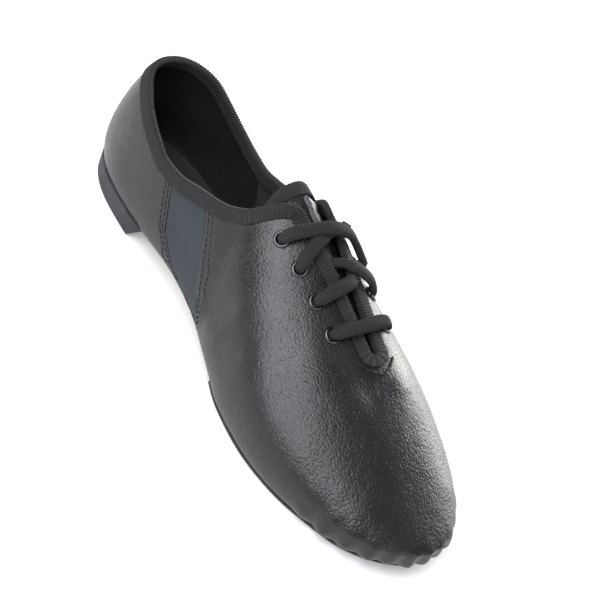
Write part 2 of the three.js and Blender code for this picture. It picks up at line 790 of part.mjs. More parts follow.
function makeTongueTape() {
  const top = TONGUE.filter((row) => row.along < THROAT.corner + 0.01);
  const edge = (side) => top.map(({ along, width }) => [side * width, along]);
  const crown = [0.8, 0.5, 0.2, -0.1, -0.4, -0.7].map((part) => [part * top[0].width, top[0].along]);
  return tape(tongueByAcross, [...edge(1).reverse(), ...crown, ...edge(-1)], TONGUE_THICKNESS, false);
}

function makeCollarTape() {
  const along = [...REAR_ALONG, THROAT.end];
  const lateral = along.slice(1).reverse().map((s) => -angleAt(s));
  const medial = along.slice(0, -1).map(angleAt);
  return tape(surface, [...lateral, ...medial].map((v) => [v, edgePhi(v)]), WALL, true);
}

// Point that follows the feather line, overhang outside it and lift above it.
function solePoint(side, along, overhang, lift) {
  const p = planPoint(side * Math.max(angleAt(along), 1e-9), overhang);
  return new THREE.Vector3(p.x, FEATHER_LENGTH / 2 - p.distance, featherHeight(p.distance) + lift);
}

function makeInsole() {
  const stations = [0, 0.006, 0.025, 0.06, 0.12, 0.18, 0.225, 0.27, 0.32, 0.37, 0.42, 0.47, 0.52, 0.56, 0.6,
    0.66, 0.72, 0.78, 0.83, 0.87, 0.9, 0.93, 0.955, 0.975, 0.99, 1];
  const low = WALL + GAP;
  return plate(
    stations,
    (side, s) => solePoint(side, s, -INSOLE_INSET, low + INSOLE_THICKNESS),
    (side, s) => solePoint(side, s, -INSOLE_INSET, low),
  );
}

function makeOutsole() {
  const stations = [OUTSOLE_REAR, 0.575, 0.6, 0.64, 0.68, 0.72, 0.76, 0.8, 0.82, 0.84, 0.86, 0.88, 0.9, 0.92, 0.94,
    0.955, 0.97, 0.98, 0.99, 0.996, 1];
  return plate(
    stations,
    (side, s) => solePoint(side, s, OUTSOLE_OVERHANG, -GAP),
    (side, s) => solePoint(side, s, OUTSOLE_OVERHANG - OUTSOLE_TAPER, -GAP - OUTSOLE_THICKNESS),
  );
}

function makeHeel() {
  const shares = [0, 0.012, 0.05, 0.13, 0.25, 0.4, 0.55, 0.7, 0.85, 1];
  return plate(
    shares,
    (side, t) => solePoint(side, t * HEEL_BREAST.top, HEEL_OVERHANG, -GAP),
    (side, t) => solePoint(side, t * HEEL_BREAST.floor, HEEL_OVERHANG - HEEL_TAPER, -GAP - HEEL_HEIGHT),
  );
}

// Place over a column, the given share of the way from its edge to its eyelet.
function overWall(side, along, share, lift) {
  const v = side * angleAt(along);
  const phi = climb(v, edgePhi(v), -EYELET_FROM_EDGE * share);
  return { at: lifted(surface, v, phi, lift), normal: normalAt(surface, v, phi) };
}

function makeBar() {
  const { along } = EYELET_ROWS[3];
  const path = [-1, 1].map((side) => [
    overWall(side, along, 1, LACE_LIFT),
    overWall(side, along, 0.5, LACE_LIFT + LACE_ARCH / 2),
    overWall(side, along, 0, LACE_LIFT + LACE_ARCH),
  ]);
  return cordAlong([...path[0], ...path[1].reverse()], 14);
}

// Two strands cross over the throat, from the eyelets of one row the reach's share of
// the way to the next, and end the given share of the way from the edge to the eyelet.
function makeCross(from, to, reach, endShare) {
  const strand = (side, rise) => {
    const start = EYELET_ROWS[from].along;
    const goal = mix(start, EYELET_ROWS[to].along, reach);
    const at = (t) => mix(start, goal, t);
    return cordAlong([
      overWall(side, at(0), 0.95, LACE_LIFT),
      overWall(side, at(0.14), 0.5, LACE_LIFT + LACE_ARCH / 2),
      overWall(side, at(0.3), 0, LACE_LIFT + LACE_ARCH + rise),
      overWall(-side, at(0.7), 0, LACE_LIFT + LACE_ARCH + rise),
      overWall(-side, at(0.86), 0.5 * endShare, LACE_LIFT + LACE_ARCH / 2),
      overWall(-side, at(1), endShare, LACE_LIFT),
    ], 14);
  };
  return fromSolid(solid(strand(-1, 0.5)).add(solid(strand(1, 0))));
}

const LOOKS = {
  leather: { color: 0x1c1b1e, roughness: 0.45, metalness: 0 },
  elastic: { color: 0x3c424b, roughness: 0.9, metalness: 0 },
  tape: { color: 0x141417, roughness: 0.85, metalness: 0 },
  lace: { color: 0x1a1a1d, roughness: 0.9, metalness: 0 },
  eyelet: { color: 0x45464a, roughness: 0.35, metalness: 0.9 },
  insole: { color: 0x8a7440, roughness: 0.85, metalness: 0 },
  outsole: { color: 0x17171a, roughness: 0.8, metalness: 0 },
  heel: { color: 0x2b2c30, roughness: 0.8, metalness: 0 },
};

const shoe = new THREE.Group();

function addPiece(name, made, look) {
  const mesh = new THREE.Mesh(made, new THREE.MeshStandardMaterial(LOOKS[look]));
  mesh.name = name;
  shoe.add(mesh);
}

addPiece('upper', makeUpper(), 'leather');
addPiece('gore_lateral', sheet(goreGrid(-1, 0), false, -GORE_RECESS, -GORE_RECESS - GORE_THICKNESS), 'elastic');
addPiece('gore_medial', sheet(goreGrid(1, 0), false, -GORE_RECESS, -GORE_RECESS - GORE_THICKNESS), 'elastic');
addPiece('collar_binding', makeCollarTape(), 'tape');
addPiece('tongue', makeTongue(), 'leather');
addPiece('tongue_binding', makeTongueTape(), 'tape');
addPiece('insole', makeInsole(), 'insole');
addPiece('forefoot_outsole', makeOutsole(), 'outsole');
addPiece('heel', makeHeel(), 'heel');
eyeletPlaces.forEach((place) => addPiece(place.name, makeEyelet(place), 'eyelet'));
addPiece('lace_bar', makeBar(), 'lace');
addPiece('lace_cross_low', makeCross(2, 1, 0.62, 0.2), 'lace');
addPiece('lace_cross_high', makeCross(1, 0, 1, 0.95), 'lace');

// The origin is under the middle of the whole shoe, on the floor.
const box = new THREE.Box3().setFromObject(shoe);
const centre = box.getCenter(new THREE.Vector3());
shoe.position.set(-centre.x, -centre.y, -box.min.z);

export default shoe;
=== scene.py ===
# Right-foot jazz shoe in black pebbled leather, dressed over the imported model. Metres, +Z up,
# toe towards -Y, outer (lateral) side towards -X.
import math

import bpy
import numpy as np
from mathutils import Matrix, Vector, noise
from mathutils.bvhtree import BVHTree


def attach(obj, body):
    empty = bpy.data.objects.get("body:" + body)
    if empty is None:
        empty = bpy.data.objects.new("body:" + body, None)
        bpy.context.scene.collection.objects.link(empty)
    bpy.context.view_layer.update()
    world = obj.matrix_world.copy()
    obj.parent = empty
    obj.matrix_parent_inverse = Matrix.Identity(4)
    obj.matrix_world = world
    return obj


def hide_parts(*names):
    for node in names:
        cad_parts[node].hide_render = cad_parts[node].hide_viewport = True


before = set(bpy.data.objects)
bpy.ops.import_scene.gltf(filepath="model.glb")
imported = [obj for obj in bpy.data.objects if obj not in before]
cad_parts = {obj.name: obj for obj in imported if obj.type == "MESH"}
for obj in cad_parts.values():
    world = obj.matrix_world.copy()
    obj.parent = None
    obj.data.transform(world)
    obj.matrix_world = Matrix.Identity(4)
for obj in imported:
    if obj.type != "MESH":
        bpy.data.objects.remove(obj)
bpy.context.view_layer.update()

MM = 0.001
LATERAL, MEDIAL = -1, 1
BOTH_SIDES = ((LATERAL, "lateral"), (MEDIAL, "medial"))

# Last
FEATHER_LENGTH = 238 * MM
BALL_HALF_WIDTH = 39 * MM
INSTEP_HEIGHT = 70 * MM
COLLAR_HEIGHT = 60 * MM
WIDEST_RISE = 12 * MM
SIDE_BULGE = 4 * MM
TOE_SPRING = 4.3 * MM

# Sole
OUTSOLE_THICKNESS = 2 * MM
HEEL_HEIGHT = 10 * MM
OUTSOLE_OVERHANG = 0.8 * MM
OUTSOLE_TAPER = 0.5 * MM
HEEL_OVERHANG = 1.5 * MM
HEEL_TAPER = 1.2 * MM
INSOLE_THICKNESS = 1.8 * MM
INSOLE_INSET = 1 * MM
OUTSOLE_REAR = 0.555
HEEL_BREAST_TOP = 0.224
HEEL_BREAST_FLOOR = 0.200

# Upper
WALL = 1.3 * MM
MARGIN_WIDTH = 9 * MM
GAP = 0.3 * MM
PLEAT_DEPTH = 1.9 * MM
PLEATS_PER_SIDE = 7
PLEATS_FROM = 0.80
PLEAT_FADE_IN = 5
PLEAT_CREST = math.radians(-45)
PLEAT_TOP = math.radians(30)
GORE_THICKNESS = 0.8 * MM
GORE_RECESS = 0.4 * MM
GORE_TUCK = 3 * MM
GORE_GAP = 0.25 * MM
GORE_LOW = math.radians(-56)

# Throat, binding, eyelets and lace
THROAT_LEAVE = 0.400
THROAT_CORNER = 0.465
THROAT_END = 0.700
THROAT_LATERAL_TOP = 7 * MM
THROAT_MEDIAL_TOP = 10.5 * MM
THROAT_HALF_END = 2.2 * MM
TAPE_WIDTH = 5.5 * MM
TAPE_THICKNESS = 0.7 * MM
TAPE_LIE = 0.12 * MM
RIB_PITCH = 1.2 * MM
RIB_HEIGHT = 0.17 * MM
EYELET_FROM_EDGE = 13.2 * MM
EYELET_FLANGE_RADIUS = 3.7 * MM
EYELET_BARREL_RADIUS = 2.7 * MM
EYELET_BORE_RADIUS = 2.2 * MM
EYELET_ROWS = [0.478, 0.534, 0.591, 0.648]
LACE_WIDTH = 5.8 * MM

# Tongue
TONGUE_THICKNESS = 1.5 * MM
TONGUE_DEPTH = 4 * MM
TONGUE_FRONT_DEPTH = 2.9 * MM
TONGUE_HALF_WIDTH = 25 * MM


def table(names, rows):
    return dict(zip(names.split(), np.array(rows, float).T))


# Feather line in plan: along is a share of FEATHER_LENGTH from the heel, the sides are
# shares of BALL_HALF_WIDTH.
OUTLINE = table("along lateral medial", [
    (0.00, 0.00, 0.00),
    (0.03, -0.37, 0.36),
    (0.10, -0.56, 0.53),
    (0.18, -0.61, 0.57),
    (0.28, -0.62, 0.53),
    (0.40, -0.65, 0.50),
    (0.52, -0.78, 0.69),
    (0.62, -0.93, 0.92),
    (0.70, -0.98, 1.02),
    (0.78, -0.93, 1.02),
    (0.86, -0.78, 0.94),
    (0.93, -0.59, 0.75),
    (0.98, -0.29, 0.46),
    (1.00, 0.08, 0.08),
])

# Side wall: shares of the heel's rise, TOE_SPRING, WIDEST_RISE and SIDE_BULGE.
SIDES = table("along heel_rise toe_rise widest lateral medial", [
    (0.000, 1.00, 0.00, 1.35, 1.00, 1.00),
    (0.225, 1.00, 0.00, 1.28, 0.80, 0.80),
    (0.320, 1.16, 0.00, 1.08, 0.80, 1.10),
    (0.420, 0.98, 0.00, 0.96, 0.85, 1.35),
    (0.520, 0.38, 0.00, 1.10, 0.88, 1.30),
    (0.600, 0.00, 0.00, 1.10, 0.88, 1.15),
    (0.800, 0.00, 0.00, 0.85, 0.82, 0.90),
    (0.900, 0.00, 0.30, 0.75, 0.80, 0.80),
    (1.000, 0.00, 1.00, 0.70, 0.80, 0.80),
])

# Ridge over the foot: shares of BALL_HALF_WIDTH and INSTEP_HEIGHT, and how full it is.
RIDGE = table("along across height power", [
    (0.17, 0.00, 1.25, 1.00),
    (0.30, 0.01, 1.20, 1.00),
    (0.42, 0.06, 1.12, 1.00),
    (0.50, 0.11, 1.00, 0.97),
    (0.60, 0.18, 0.83, 0.96),
    (0.68, 0.22, 0.71, 0.96),
    (0.74, 0.24, 0.64, 0.98),
])

# Top edge: shares of COLLAR_HEIGHT.
COLLAR = table("along lateral medial", [
    (0.00, 1.000, 1.000),
    (0.06, 0.970, 0.950),
    (0.11, 0.910, 0.865),
    (0.16, 0.845, 0.800),
    (0.21, 0.795, 0.765),
    (0.25, 0.810, 0.760),
    (0.30, 0.880, 0.810),
    (0.34, 0.930, 0.885),
    (0.37, 0.980, 0.950),
    (0.40, 1.060, 1.035),
    (0.43, 1.150, 1.120),
    (0.46, 1.220, 1.190),
])

# Elastic inset: rise runs from its bottom to its top, its edges are shares of the length.
GORE = table("rise rear front", [
    (0.00, 0.400, 0.452),
    (0.06, 0.372, 0.450),
    (0.14, 0.350, 0.446),
    (0.28, 0.330, 0.440),
    (0.45, 0.314, 0.426),
    (0.65, 0.296, 0.399),
    (0.80, 0.275, 0.371),
    (1.00, 0.243, 0.328),
])

# Tongue outline: width is a share of TONGUE_HALF_WIDTH.
TONGUE = table("along width", [
    (0.400, 0.40),
    (0.402, 0.56),
    (0.405, 0.70),
    (0.4095, 0.83),
    (0.416, 0.925),
    (0.424, 0.98),
    (0.434, 1.00),
    (0.470, 1.00),
    (0.520, 0.97),
    (0.570, 0.90),
    (0.620, 0.82),
    (0.665, 0.73),
    (0.705, 0.61),
    (0.728, 0.48),
])

RIDGE_START = RIDGE["along"][0] * FEATHER_LENGTH
RIDGE_END = RIDGE["along"][-1] * FEATHER_LENGTH
RIDGE_SOFTNESS = 0.06 * FEATHER_LENGTH
RIDGE_SLOPE = (
    (RIDGE["height"][-2] - RIDGE["height"][-1]) * INSTEP_HEIGHT
    / (RIDGE_END - RIDGE["along"][-2] * FEATHER_LENGTH)
)
FOREFOOT_FEATHER = OUTSOLE_THICKNESS + GAP
HEEL_RISE = HEEL_HEIGHT - OUTSOLE_THICKNESS
THROAT_MOUTH = THROAT_END - THROAT_HALF_END / FEATHER_LENGTH
TAPE_PROUD = TAPE_LIE + TAPE_THICKNESS

# The last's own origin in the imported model: the heel block's rearmost corner lies on the
# last's middle line, HEEL_OVERHANG behind the feather line.
heel_corner = max((v.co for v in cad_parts["heel"].data.vertices), key=lambda co: co.y)
LAST_ORIGIN = np.array([heel_corner.x, heel_corner.y - FEATHER_LENGTH / 2 - HEEL_OVERHANG, 0.0])


# Last's surface

def mix(a, b, t):
    return a + (b - a) * t


def smoothstep(t):
    t = np.clip(t, 0, 1)
    return t * t * (3 - 2 * t)


def unit(v):
    return v / np.linalg.norm(v, axis=-1, keepdims=True)


def angle_at(along):
    return np.arccos(np.clip(1 - 2 * np.asarray(along, float), -1, 1))


def along_at(angle):
    return (1 - np.cos(angle)) / 2


def hermite(h, t, y0, y1, m0, m1):
    s = 1 - t
    return (1 + 2 * t) * s * s * y0 + t * s * s * h * m0 + t * t * (3 - 2 * t) * y1 - t * t * s * h * m1


def column(rows, name, x, key="along"):
    """Value of a table's column at x, smooth through its rows and without overshoot."""
    xs, ys = rows[key], rows[name]
    slope = np.diff(ys) / np.diff(xs)
    product = slope[:-1] * slope[1:]
    total = slope[:-1] + slope[1:]
    inner = np.where(product > 0, 2 * product / np.where(product > 0, total, 1), 0)
    tangent = np.concatenate([slope[:1], inner, slope[-1:]])
    at = np.clip(x, xs[0], xs[-1])
    i = np.clip(np.searchsorted(xs, at) - 1, 0, len(xs) - 2)
    h = xs[i + 1] - xs[i]
    return hermite(h, (at - xs[i]) / h, ys[i], ys[i + 1], tangent[i], tangent[i + 1])


def outline(name, angle):
    """Half width of the feather line, smooth in the angle so that heel and toe are round."""
    keys, ys = angle_at(OUTLINE["along"]), OUTLINE[name]
    gap = np.diff(keys)
    slope = np.diff(ys) / gap
    inner = (slope[:-1] * gap[1:] + slope[1:] * gap[:-1]) / (gap[:-1] + gap[1:])
    tangent = np.concatenate([[2 * slope[0] - inner[0]], inner, [2 * slope[-1] - inner[-1]]])
    i = np.clip(np.searchsorted(keys, angle) - 1, 0, len(keys) - 2)
    h = keys[i + 1] - keys[i]
    return hermite(h, (angle - keys[i]) / h, ys[i], ys[i + 1], tangent[i], tangent[i + 1]) * BALL_HALF_WIDTH


def soft_min(a, b, r):
    h = np.clip(0.5 + 0.5 * (b - a) / r, 0, 1)
    return mix(b, a, h) - r * h * (1 - h)


def by_side(v, lateral, medial):
    return np.where(v < 0, lateral, medial)


def feather_height(distance):
    along = distance / FEATHER_LENGTH
    return (
        FOREFOOT_FEATHER + column(SIDES, "heel_rise", along) * HEEL_RISE
        + column(SIDES, "toe_rise", along) * TOE_SPRING
    )


def plan_point(v, offset):
    """x, distance from the heel and outward normal of the feather line, offset outwards."""
    angle = np.abs(v)
    e = 1e-3
    before, after = np.maximum(angle - e, 0), np.minimum(angle + e, math.pi)

    def half(a):
        return by_side(v, outline("lateral", a), outline("medial", a))

    tx = half(after) - half(before)
    ty = (along_at(after) - along_at(before)) * FEATHER_LENGTH
    size = np.hypot(tx, ty)
    sign = np.where(v < 0, -1.0, 1.0)
    pole = (angle < e) | (angle > math.pi - e)
    nx = np.where(pole, 0.0, sign * ty / size)
    ny = np.where(pole, np.where(angle < e, -1.0, 1.0), -sign * tx / size)
    return half(angle) + offset * nx, along_at(angle) * FEATHER_LENGTH + offset * ny, nx, ny


# Height of each toe pleat as a share of PLEAT_DEPTH, from the side towards the toe.
PLEATS = {
    "lateral": [0.55, 0.9, 1.25, 0.95, 1.3, 0.85, 1.15, 1.0],
    "medial": [0.45, 0.8, 1.1, 1.3, 0.9, 1.2, 0.8, 1.0],
}


def pleat(v, phi):
    """Height of the toe's pleats over the last, broad at the crest and tight in the fold."""
    start = float(angle_at(PLEATS_FROM))
    k = np.clip((np.abs(v) - start) / (math.pi - start), 0, 1)
    turn = k * PLEATS_PER_SIDE
    crest = np.clip(np.round(turn).astype(int), 0, PLEATS_PER_SIDE)
    height = by_side(v, np.array(PLEATS["lateral"])[crest], np.array(PLEATS["medial"])[crest])
    wave = (0.5 + 0.5 * np.cos(2 * math.pi * turn)) ** 0.75
    low = -math.pi / 2
    fade = np.where(
        phi < PLEAT_CREST,
        mix(0.3, 1, (phi - low) / (PLEAT_CREST - low)),
        0.5 + 0.5 * np.cos(math.pi * np.clip((phi - PLEAT_CREST) / (PLEAT_TOP - PLEAT_CREST), 0, 1)),
    )
    return PLEAT_DEPTH * height * wave * fade * smoothstep(k * PLEAT_FADE_IN)


def column_at(v):
    fx, fy, nx, ny = plan_point(v, 0)
    along = fy / FEATHER_LENGTH
    bulge = by_side(v, column(SIDES, "lateral", along), column(SIDES, "medial", along)) * SIDE_BULGE
    wx, wy, _, _ = plan_point(v, bulge)
    low = feather_height(fy)
    high = low + column(SIDES, "widest", along) * WIDEST_RISE
    reach = soft_min(fy, RIDGE_END, RIDGE_SOFTNESS)
    ry = -soft_min(-reach, -RIDGE_START, RIDGE_SOFTNESS)
    share = ry / FEATHER_LENGTH
    rx = column(RIDGE, "across", share) * BALL_HALF_WIDTH
    rz = column(RIDGE, "height", share) * INSTEP_HEIGHT
    return {
        "foot": np.stack([fx, fy, low], -1),
        "wide": np.stack([wx, wy, high], -1),
        "ridge": np.stack([rx, ry, rz], -1),
        "power": column(RIDGE, "power", share),
        "out": np.stack([nx, ny], -1),
    }


def surface(v, phi):
    """The last: v goes round the plan from the heel, negative on the lateral side; phi is
    -90 degrees at the feather line, 0 at the widest line and 90 at the ridge."""
    v, phi = np.broadcast_arrays(np.asarray(v, float), np.asarray(phi, float))
    past_ridge = phi > math.pi / 2
    v = np.where(past_ridge, -v, v)
    phi = np.where(past_ridge, math.pi - phi, phi)
    v = np.where(np.abs(v) > math.pi, v - np.sign(v) * 2 * math.pi, v)
    c = column_at(v)
    low = phi < 0
    end = np.where(low[..., None], c["foot"], c["ridge"])
    p = mix(end, c["wide"], np.cos(phi)[..., None])
    q = np.sin(np.maximum(phi, 0)) ** c["power"]
    ridge_y = c["ridge"][..., 1]
    past = np.where(ridge_y > RIDGE_START * 1.5, np.maximum(0, p[..., 1] - ridge_y), 0)
    under = mix(c["foot"][..., 2], c["wide"][..., 2], 1 + np.sin(phi))
    over = mix(c["wide"][..., 2], c["ridge"][..., 2], q) - RIDGE_SLOPE * past * q
    fold = pleat(v, phi)
    x = p[..., 0] + fold * c["out"][..., 0]
    y = p[..., 1] + fold * c["out"][..., 1]
    z = np.where(low, under, over)
    return np.stack([x, FEATHER_LENGTH / 2 - y, z], -1) + LAST_ORIGIN


def slopes(form, a, b):
    e = 2e-3
    return (form(a + e, b) - form(a - e, b)) / (2 * e), (form(a, b + e) - form(a, b - e)) / (2 * e)


def normal_at(form, a, b):
    da, db = slopes(form, a, b)
    return unit(np.cross(db, da))


def lifted(form, a, b, lift):
    return form(a, b) + normal_at(form, a, b) * np.asarray(lift)[..., None]


def climb(v, phi, length):
    """Moves phi so that the column is followed by the given length, up when positive."""
    steps = 10
    at = np.asarray(phi, float)
    for _ in range(steps):
        rate = np.linalg.norm(surface(v, at) - surface(v, at - 2e-3), axis=-1) / 2e-3
        at = at + length / steps / rate
    return at


def throat_half(along, side):
    t = np.clip((along - THROAT_CORNER) / (THROAT_MOUTH - THROAT_CORNER), 0, 1)
    end = np.clip((along - THROAT_MOUTH) / (THROAT_END - THROAT_MOUTH), 0, 1)
    top = by_side(side, THROAT_LATERAL_TOP, THROAT_MEDIAL_TOP)
    return mix(THROAT_HALF_END, top, (1 - t) ** 2) * np.sqrt(1 - end * end)


def phi_beside(v, across):
    return climb(v, np.full(np.shape(v), math.pi / 2), -across)


def edge_phi(v):
    """Top edge of the upper: the collar, then the throat, then closed over the toes."""
    v = np.asarray(v, float)
    along = along_at(np.abs(v))
    c = column_at(v)
    height = by_side(v, column(COLLAR, "lateral", along), column(COLLAR, "medial", along)) * COLLAR_HEIGHT
    rise = np.clip((height - c["wide"][..., 2]) / (c["ridge"][..., 2] - c["wide"][..., 2]), 0, 1)
    collar = np.arcsin(rise ** (1 / c["power"]))
    throat = phi_beside(v, throat_half(along, v))
    t = smoothstep((along - THROAT_LEAVE) / (THROAT_CORNER - THROAT_LEAVE))
    return np.where(along >= THROAT_END - 1e-6, math.pi / 2, mix(collar, throat, t))


def beside_ridge(along, across):
    """Angles of a place, given along and signed across from the ridge."""
    v = np.where(np.asarray(across) < 0, -1.0, 1.0) * angle_at(along)
    return v, phi_beside(v, np.abs(across))


def resampled(path, pitch):
    """Rows of a dense table whose first three columns are places, at an even pitch."""
    steps = np.linalg.norm(np.diff(path[:, :3], axis=0), axis=1)
    length = np.concatenate([[0], np.cumsum(steps)])
    count = max(int(round(length[-1] / pitch)), 1)
    at = np.linspace(0, length[-1], count + 1)
    return np.stack([np.interp(at, length, path[:, k]) for k in range(path.shape[1])], -1)


# Mesh making

def deselect():
    if bpy.context.object and bpy.context.object.mode != "OBJECT":
        bpy.ops.object.mode_set(mode="OBJECT")
    bpy.ops.object.select_all(action="DESELECT")


def choose(piece):
    deselect()
    piece.select_set(True)
    bpy.context.view_layer.objects.active = piece


def edit_all(piece):
    choose(piece)
    bpy.ops.object.mode_set(mode="EDIT")
    bpy.ops.mesh.select_all(action="SELECT")


def linked(name, data):
    """A new object in the scene for a mesh, a light or a camera."""
    made = bpy.data.objects.new(name, data)
    bpy.context.collection.objects.link(made)
    return made


def grid_piece(name, points, merge=0.02 * MM, ribs=None):
    """A grid whose points are placed by rows, with what falls together merged; ribs hold
    the height of the weave in each column."""
    rows, columns = points.shape[:2]
    deselect()
    bpy.ops.mesh.primitive_grid_add(x_subdivisions=columns - 1, y_subdivisions=rows - 1)
    piece = bpy.context.object
    piece.name = name
    piece.data.name = name
    place_all(piece, points)
    # The rib heights are also stored as an attribute that the woven materials turn into painted groove shade
    # and crest light.
    if ribs is not None:
        weave = piece.data.attributes.new("rib", "FLOAT", "POINT")
        weave.data.foreach_set("value", np.tile(ribs, rows).astype(np.float32))
    edit_all(piece)
    bpy.ops.mesh.remove_doubles(threshold=merge)
    bpy.ops.mesh.normals_make_consistent(inside=False)
    bpy.ops.object.mode_set(mode="OBJECT")
    return piece


def places(piece):
    co = np.empty(len(piece.data.vertices) * 3)
    piece.data.vertices.foreach_get("co", co)
    return co.reshape(-1, 3)


def normals(piece):
    n = np.empty(len(piece.data.vertices) * 3)
    piece.data.vertices.foreach_get("normal", n)
    return n.reshape(-1, 3)


def place_all(piece, co):
    piece.data.vertices.foreach_set("co", co.reshape(-1).astype(np.float32))
    piece.data.update()


def face_outwards(piece):
    """Turns an open shell's faces away from its middle."""
    co = places(piece)
    if ((co - co.mean(0)) * normals(piece)).sum() < 0:
        edit_all(piece)
        bpy.ops.mesh.flip_normals()
        bpy.ops.object.mode_set(mode="OBJECT")


def apply_modifier(piece, kind, **values):
    choose(piece)
    modifier = piece.modifiers.new(kind.lower(), kind)
    for key, value in values.items():
        setattr(modifier, key, value)
    bpy.ops.object.modifier_apply(modifier=modifier.name)


def close_ends(piece):
    """Closes each open end with a face."""
    used = np.empty(len(piece.data.loops), int)
    piece.data.loops.foreach_get("edge_index", used)
    if (np.bincount(used, minlength=len(piece.data.edges)) > 1).all():
        return
    choose(piece)
    bpy.ops.object.mode_set(mode="EDIT")
    bpy.ops.mesh.select_mode(type="VERT")
    bpy.ops.mesh.select_all(action="DESELECT")
    bpy.ops.mesh.select_non_manifold(extend=False)
    bpy.ops.mesh.edge_face_add()
    bpy.ops.mesh.select_all(action="SELECT")
    bpy.ops.mesh.normals_make_consistent(inside=False)
    bpy.ops.object.mode_set(mode="OBJECT")


def smooth_by_angle(piece, degrees):
    choose(piece)
    bpy.ops.object.shade_smooth_by_angle(angle=math.radians(degrees))


def joined(name, pieces):
    deselect()
    for piece in pieces:
        piece.select_set(True)
    bpy.context.view_layer.objects.active = pieces[0]
    bpy.ops.object.join()
    pieces[0].name = name
    pieces[0].data.name = name
    return pieces[0]


def finish_piece(piece, slot, materials, *nodes):
    piece.data.materials.clear()
    for material in materials:
        piece.data.materials.append(material)
    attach(piece, "root")
    if nodes:
        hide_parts(*nodes)
    return piece


# Materials

class Finish:
    """A material under construction, with short calls for the nodes it needs."""

    def __init__(self, name, color, roughness, **sockets):
        self.material = bpy.data.materials.new(name)
        self.material.use_nodes = True
        self.material.diffuse_color = (*color, 1)
        self.tree = self.material.node_tree
        self.shader = self.tree.nodes["Principled BSDF"]
        self.shader.inputs["Base Color"].default_value = (*color, 1)
        self.shader.inputs["Roughness"].default_value = roughness
        for key, value in sockets.items():
            self.shader.inputs[key.replace("_", " ")].default_value = value

    def node(self, kind, inputs=None, **settings):
        made = self.tree.nodes.new(kind)
        for key, value in settings.items():
            setattr(made, key, value)
        for key, value in (inputs or {}).items():
            if isinstance(value, bpy.types.NodeSocket):
                self.tree.links.new(value, made.inputs[key])
            else:
                made.inputs[key].default_value = value
        return made

    def place(self, scale=(1, 1, 1), kind="Object"):
        coords = self.node("ShaderNodeTexCoord")
        return self.node("ShaderNodeMapping", {"Vector": coords.outputs[kind], "Scale": scale}).outputs[0]

    def noise(self, where, scale, detail=2.0, roughness=0.5):
        values = {"Vector": where, "Scale": scale, "Detail": detail, "Roughness": roughness}
        return self.node("ShaderNodeTexNoise", values).outputs[0]

    def cells(self, where, scale, feature="F1"):
        values = {"Vector": where, "Scale": scale}
        return self.node("ShaderNodeTexVoronoi", values, feature=feature).outputs["Distance"]

    def wave(self, where, scale, distortion=0.0, direction="X"):
        values = {"Vector": where, "Scale": scale, "Distortion": distortion}
        return self.node("ShaderNodeTexWave", values, bands_direction=direction).outputs[1]

    def ramp(self, value, stops):
        made = self.node("ShaderNodeValToRGB", {"Fac": value})
        elements = made.color_ramp.elements
        while len(elements) < len(stops):
            elements.new(0.5)
        for element, (position, color) in zip(elements, stops):
            element.position = position
            element.color = (*color, 1)
        return made.outputs[0]

    def range(self, value, low, high, start=0.0, end=1.0):
        values = {"Value": value, "From Min": start, "From Max": end, "To Min": low, "To Max": high}
        return self.node("ShaderNodeMapRange", values).outputs[0]

    def math(self, operation, a, b):
        return self.node("ShaderNodeMath", {0: a, 1: b}, operation=operation).outputs[0]

    def bump(self, height, strength, distance, below=None):
        values = {"Height": height, "Strength": strength, "Distance": distance}
        if below is not None:
            values["Normal"] = below
        return self.node("ShaderNodeBump", values).outputs[0]

    def set(self, socket, value):
        self.tree.links.new(value, self.shader.inputs[socket])


def leather(name, color, lighter):
    """Pebbled black leather: soft uneven grain under a millimetre across, satin on top, with painted shade
    darkening the grain's valleys.
    """
    made = Finish(name, color, 0.4, Coat_Weight=0.08, Coat_Roughness=0.3)
    where = made.place((1, 0.75, 1))
    soft = made.noise(where, 45, 3.0)
    creases = made.noise(where, 1150, 2.0, 0.5)
    bent = made.node("ShaderNodeMixRGB", {
        "Fac": 0.0016,
        "Color1": where,
        "Color2": made.node("ShaderNodeTexNoise", {"Vector": where, "Scale": 420, "Detail": 2}).outputs[1],
    }).outputs[0]
    rounded = made.math("SUBTRACT", 1.0, made.math("POWER", made.cells(bent, 1050), 2.0))
    height = made.math("ADD", made.math("MULTIPLY", rounded, 0.7), made.math("MULTIPLY", creases, 0.6))
    made.set("Normal", made.bump(height, 0.65, 0.0003, made.bump(soft, 0.3, 0.0014)))
    # Base colour: random soft tone, plus painted shade that darkens the grain's valleys and leaves its
    # plateaus lighter.
    tone_and_painted_shade = made.math("ADD", made.math("MULTIPLY", rounded, 0.35), made.math("MULTIPLY", soft, 0.65))
    made.set("Base Color", made.ramp(tone_and_painted_shade, [(0.25, color), (0.85, lighter)]))
    worn = made.math("ADD", soft, made.math("MULTIPLY", creases, 0.3))
    made.set("Roughness", made.range(worn, 0.31, 0.46, 0.35, 0.95))
    return made.material


def lining():
    made = Finish("black_lining", (0.012, 0.012, 0.013), 0.85)
    where = made.place()
    made.set("Normal", made.bump(made.noise(where, 1800, 3.0), 0.4, 0.00015))
    soft = made.noise(where, 90)
    made.set("Base Color", made.ramp(soft, [(0.3, (0.009, 0.009, 0.010)), (0.7, (0.018, 0.018, 0.019))]))
    return made.material


def elastic():
    """Slate elastic, knitted in fine vertical ribs with a close cross weave."""
    made = Finish("slate_elastic", (0.023, 0.030, 0.036), 0.82, Sheen_Weight=0.06, Sheen_Roughness=0.5)
    where = made.place(kind="UV")
    ribs = made.wave(where, 14.0)
    cross = made.wave(where, 22.0, direction="Y")
    height = made.math("ADD", ribs, made.math("MULTIPLY", cross, 0.6))
    made.set("Normal", made.bump(height, 0.3, 0.00012))
    soft = made.noise(made.place(), 60)
    made.set("Base Color", made.ramp(soft, [(0.3, (0.020, 0.026, 0.031)), (0.7, (0.027, 0.034, 0.041))]))
    return made.material


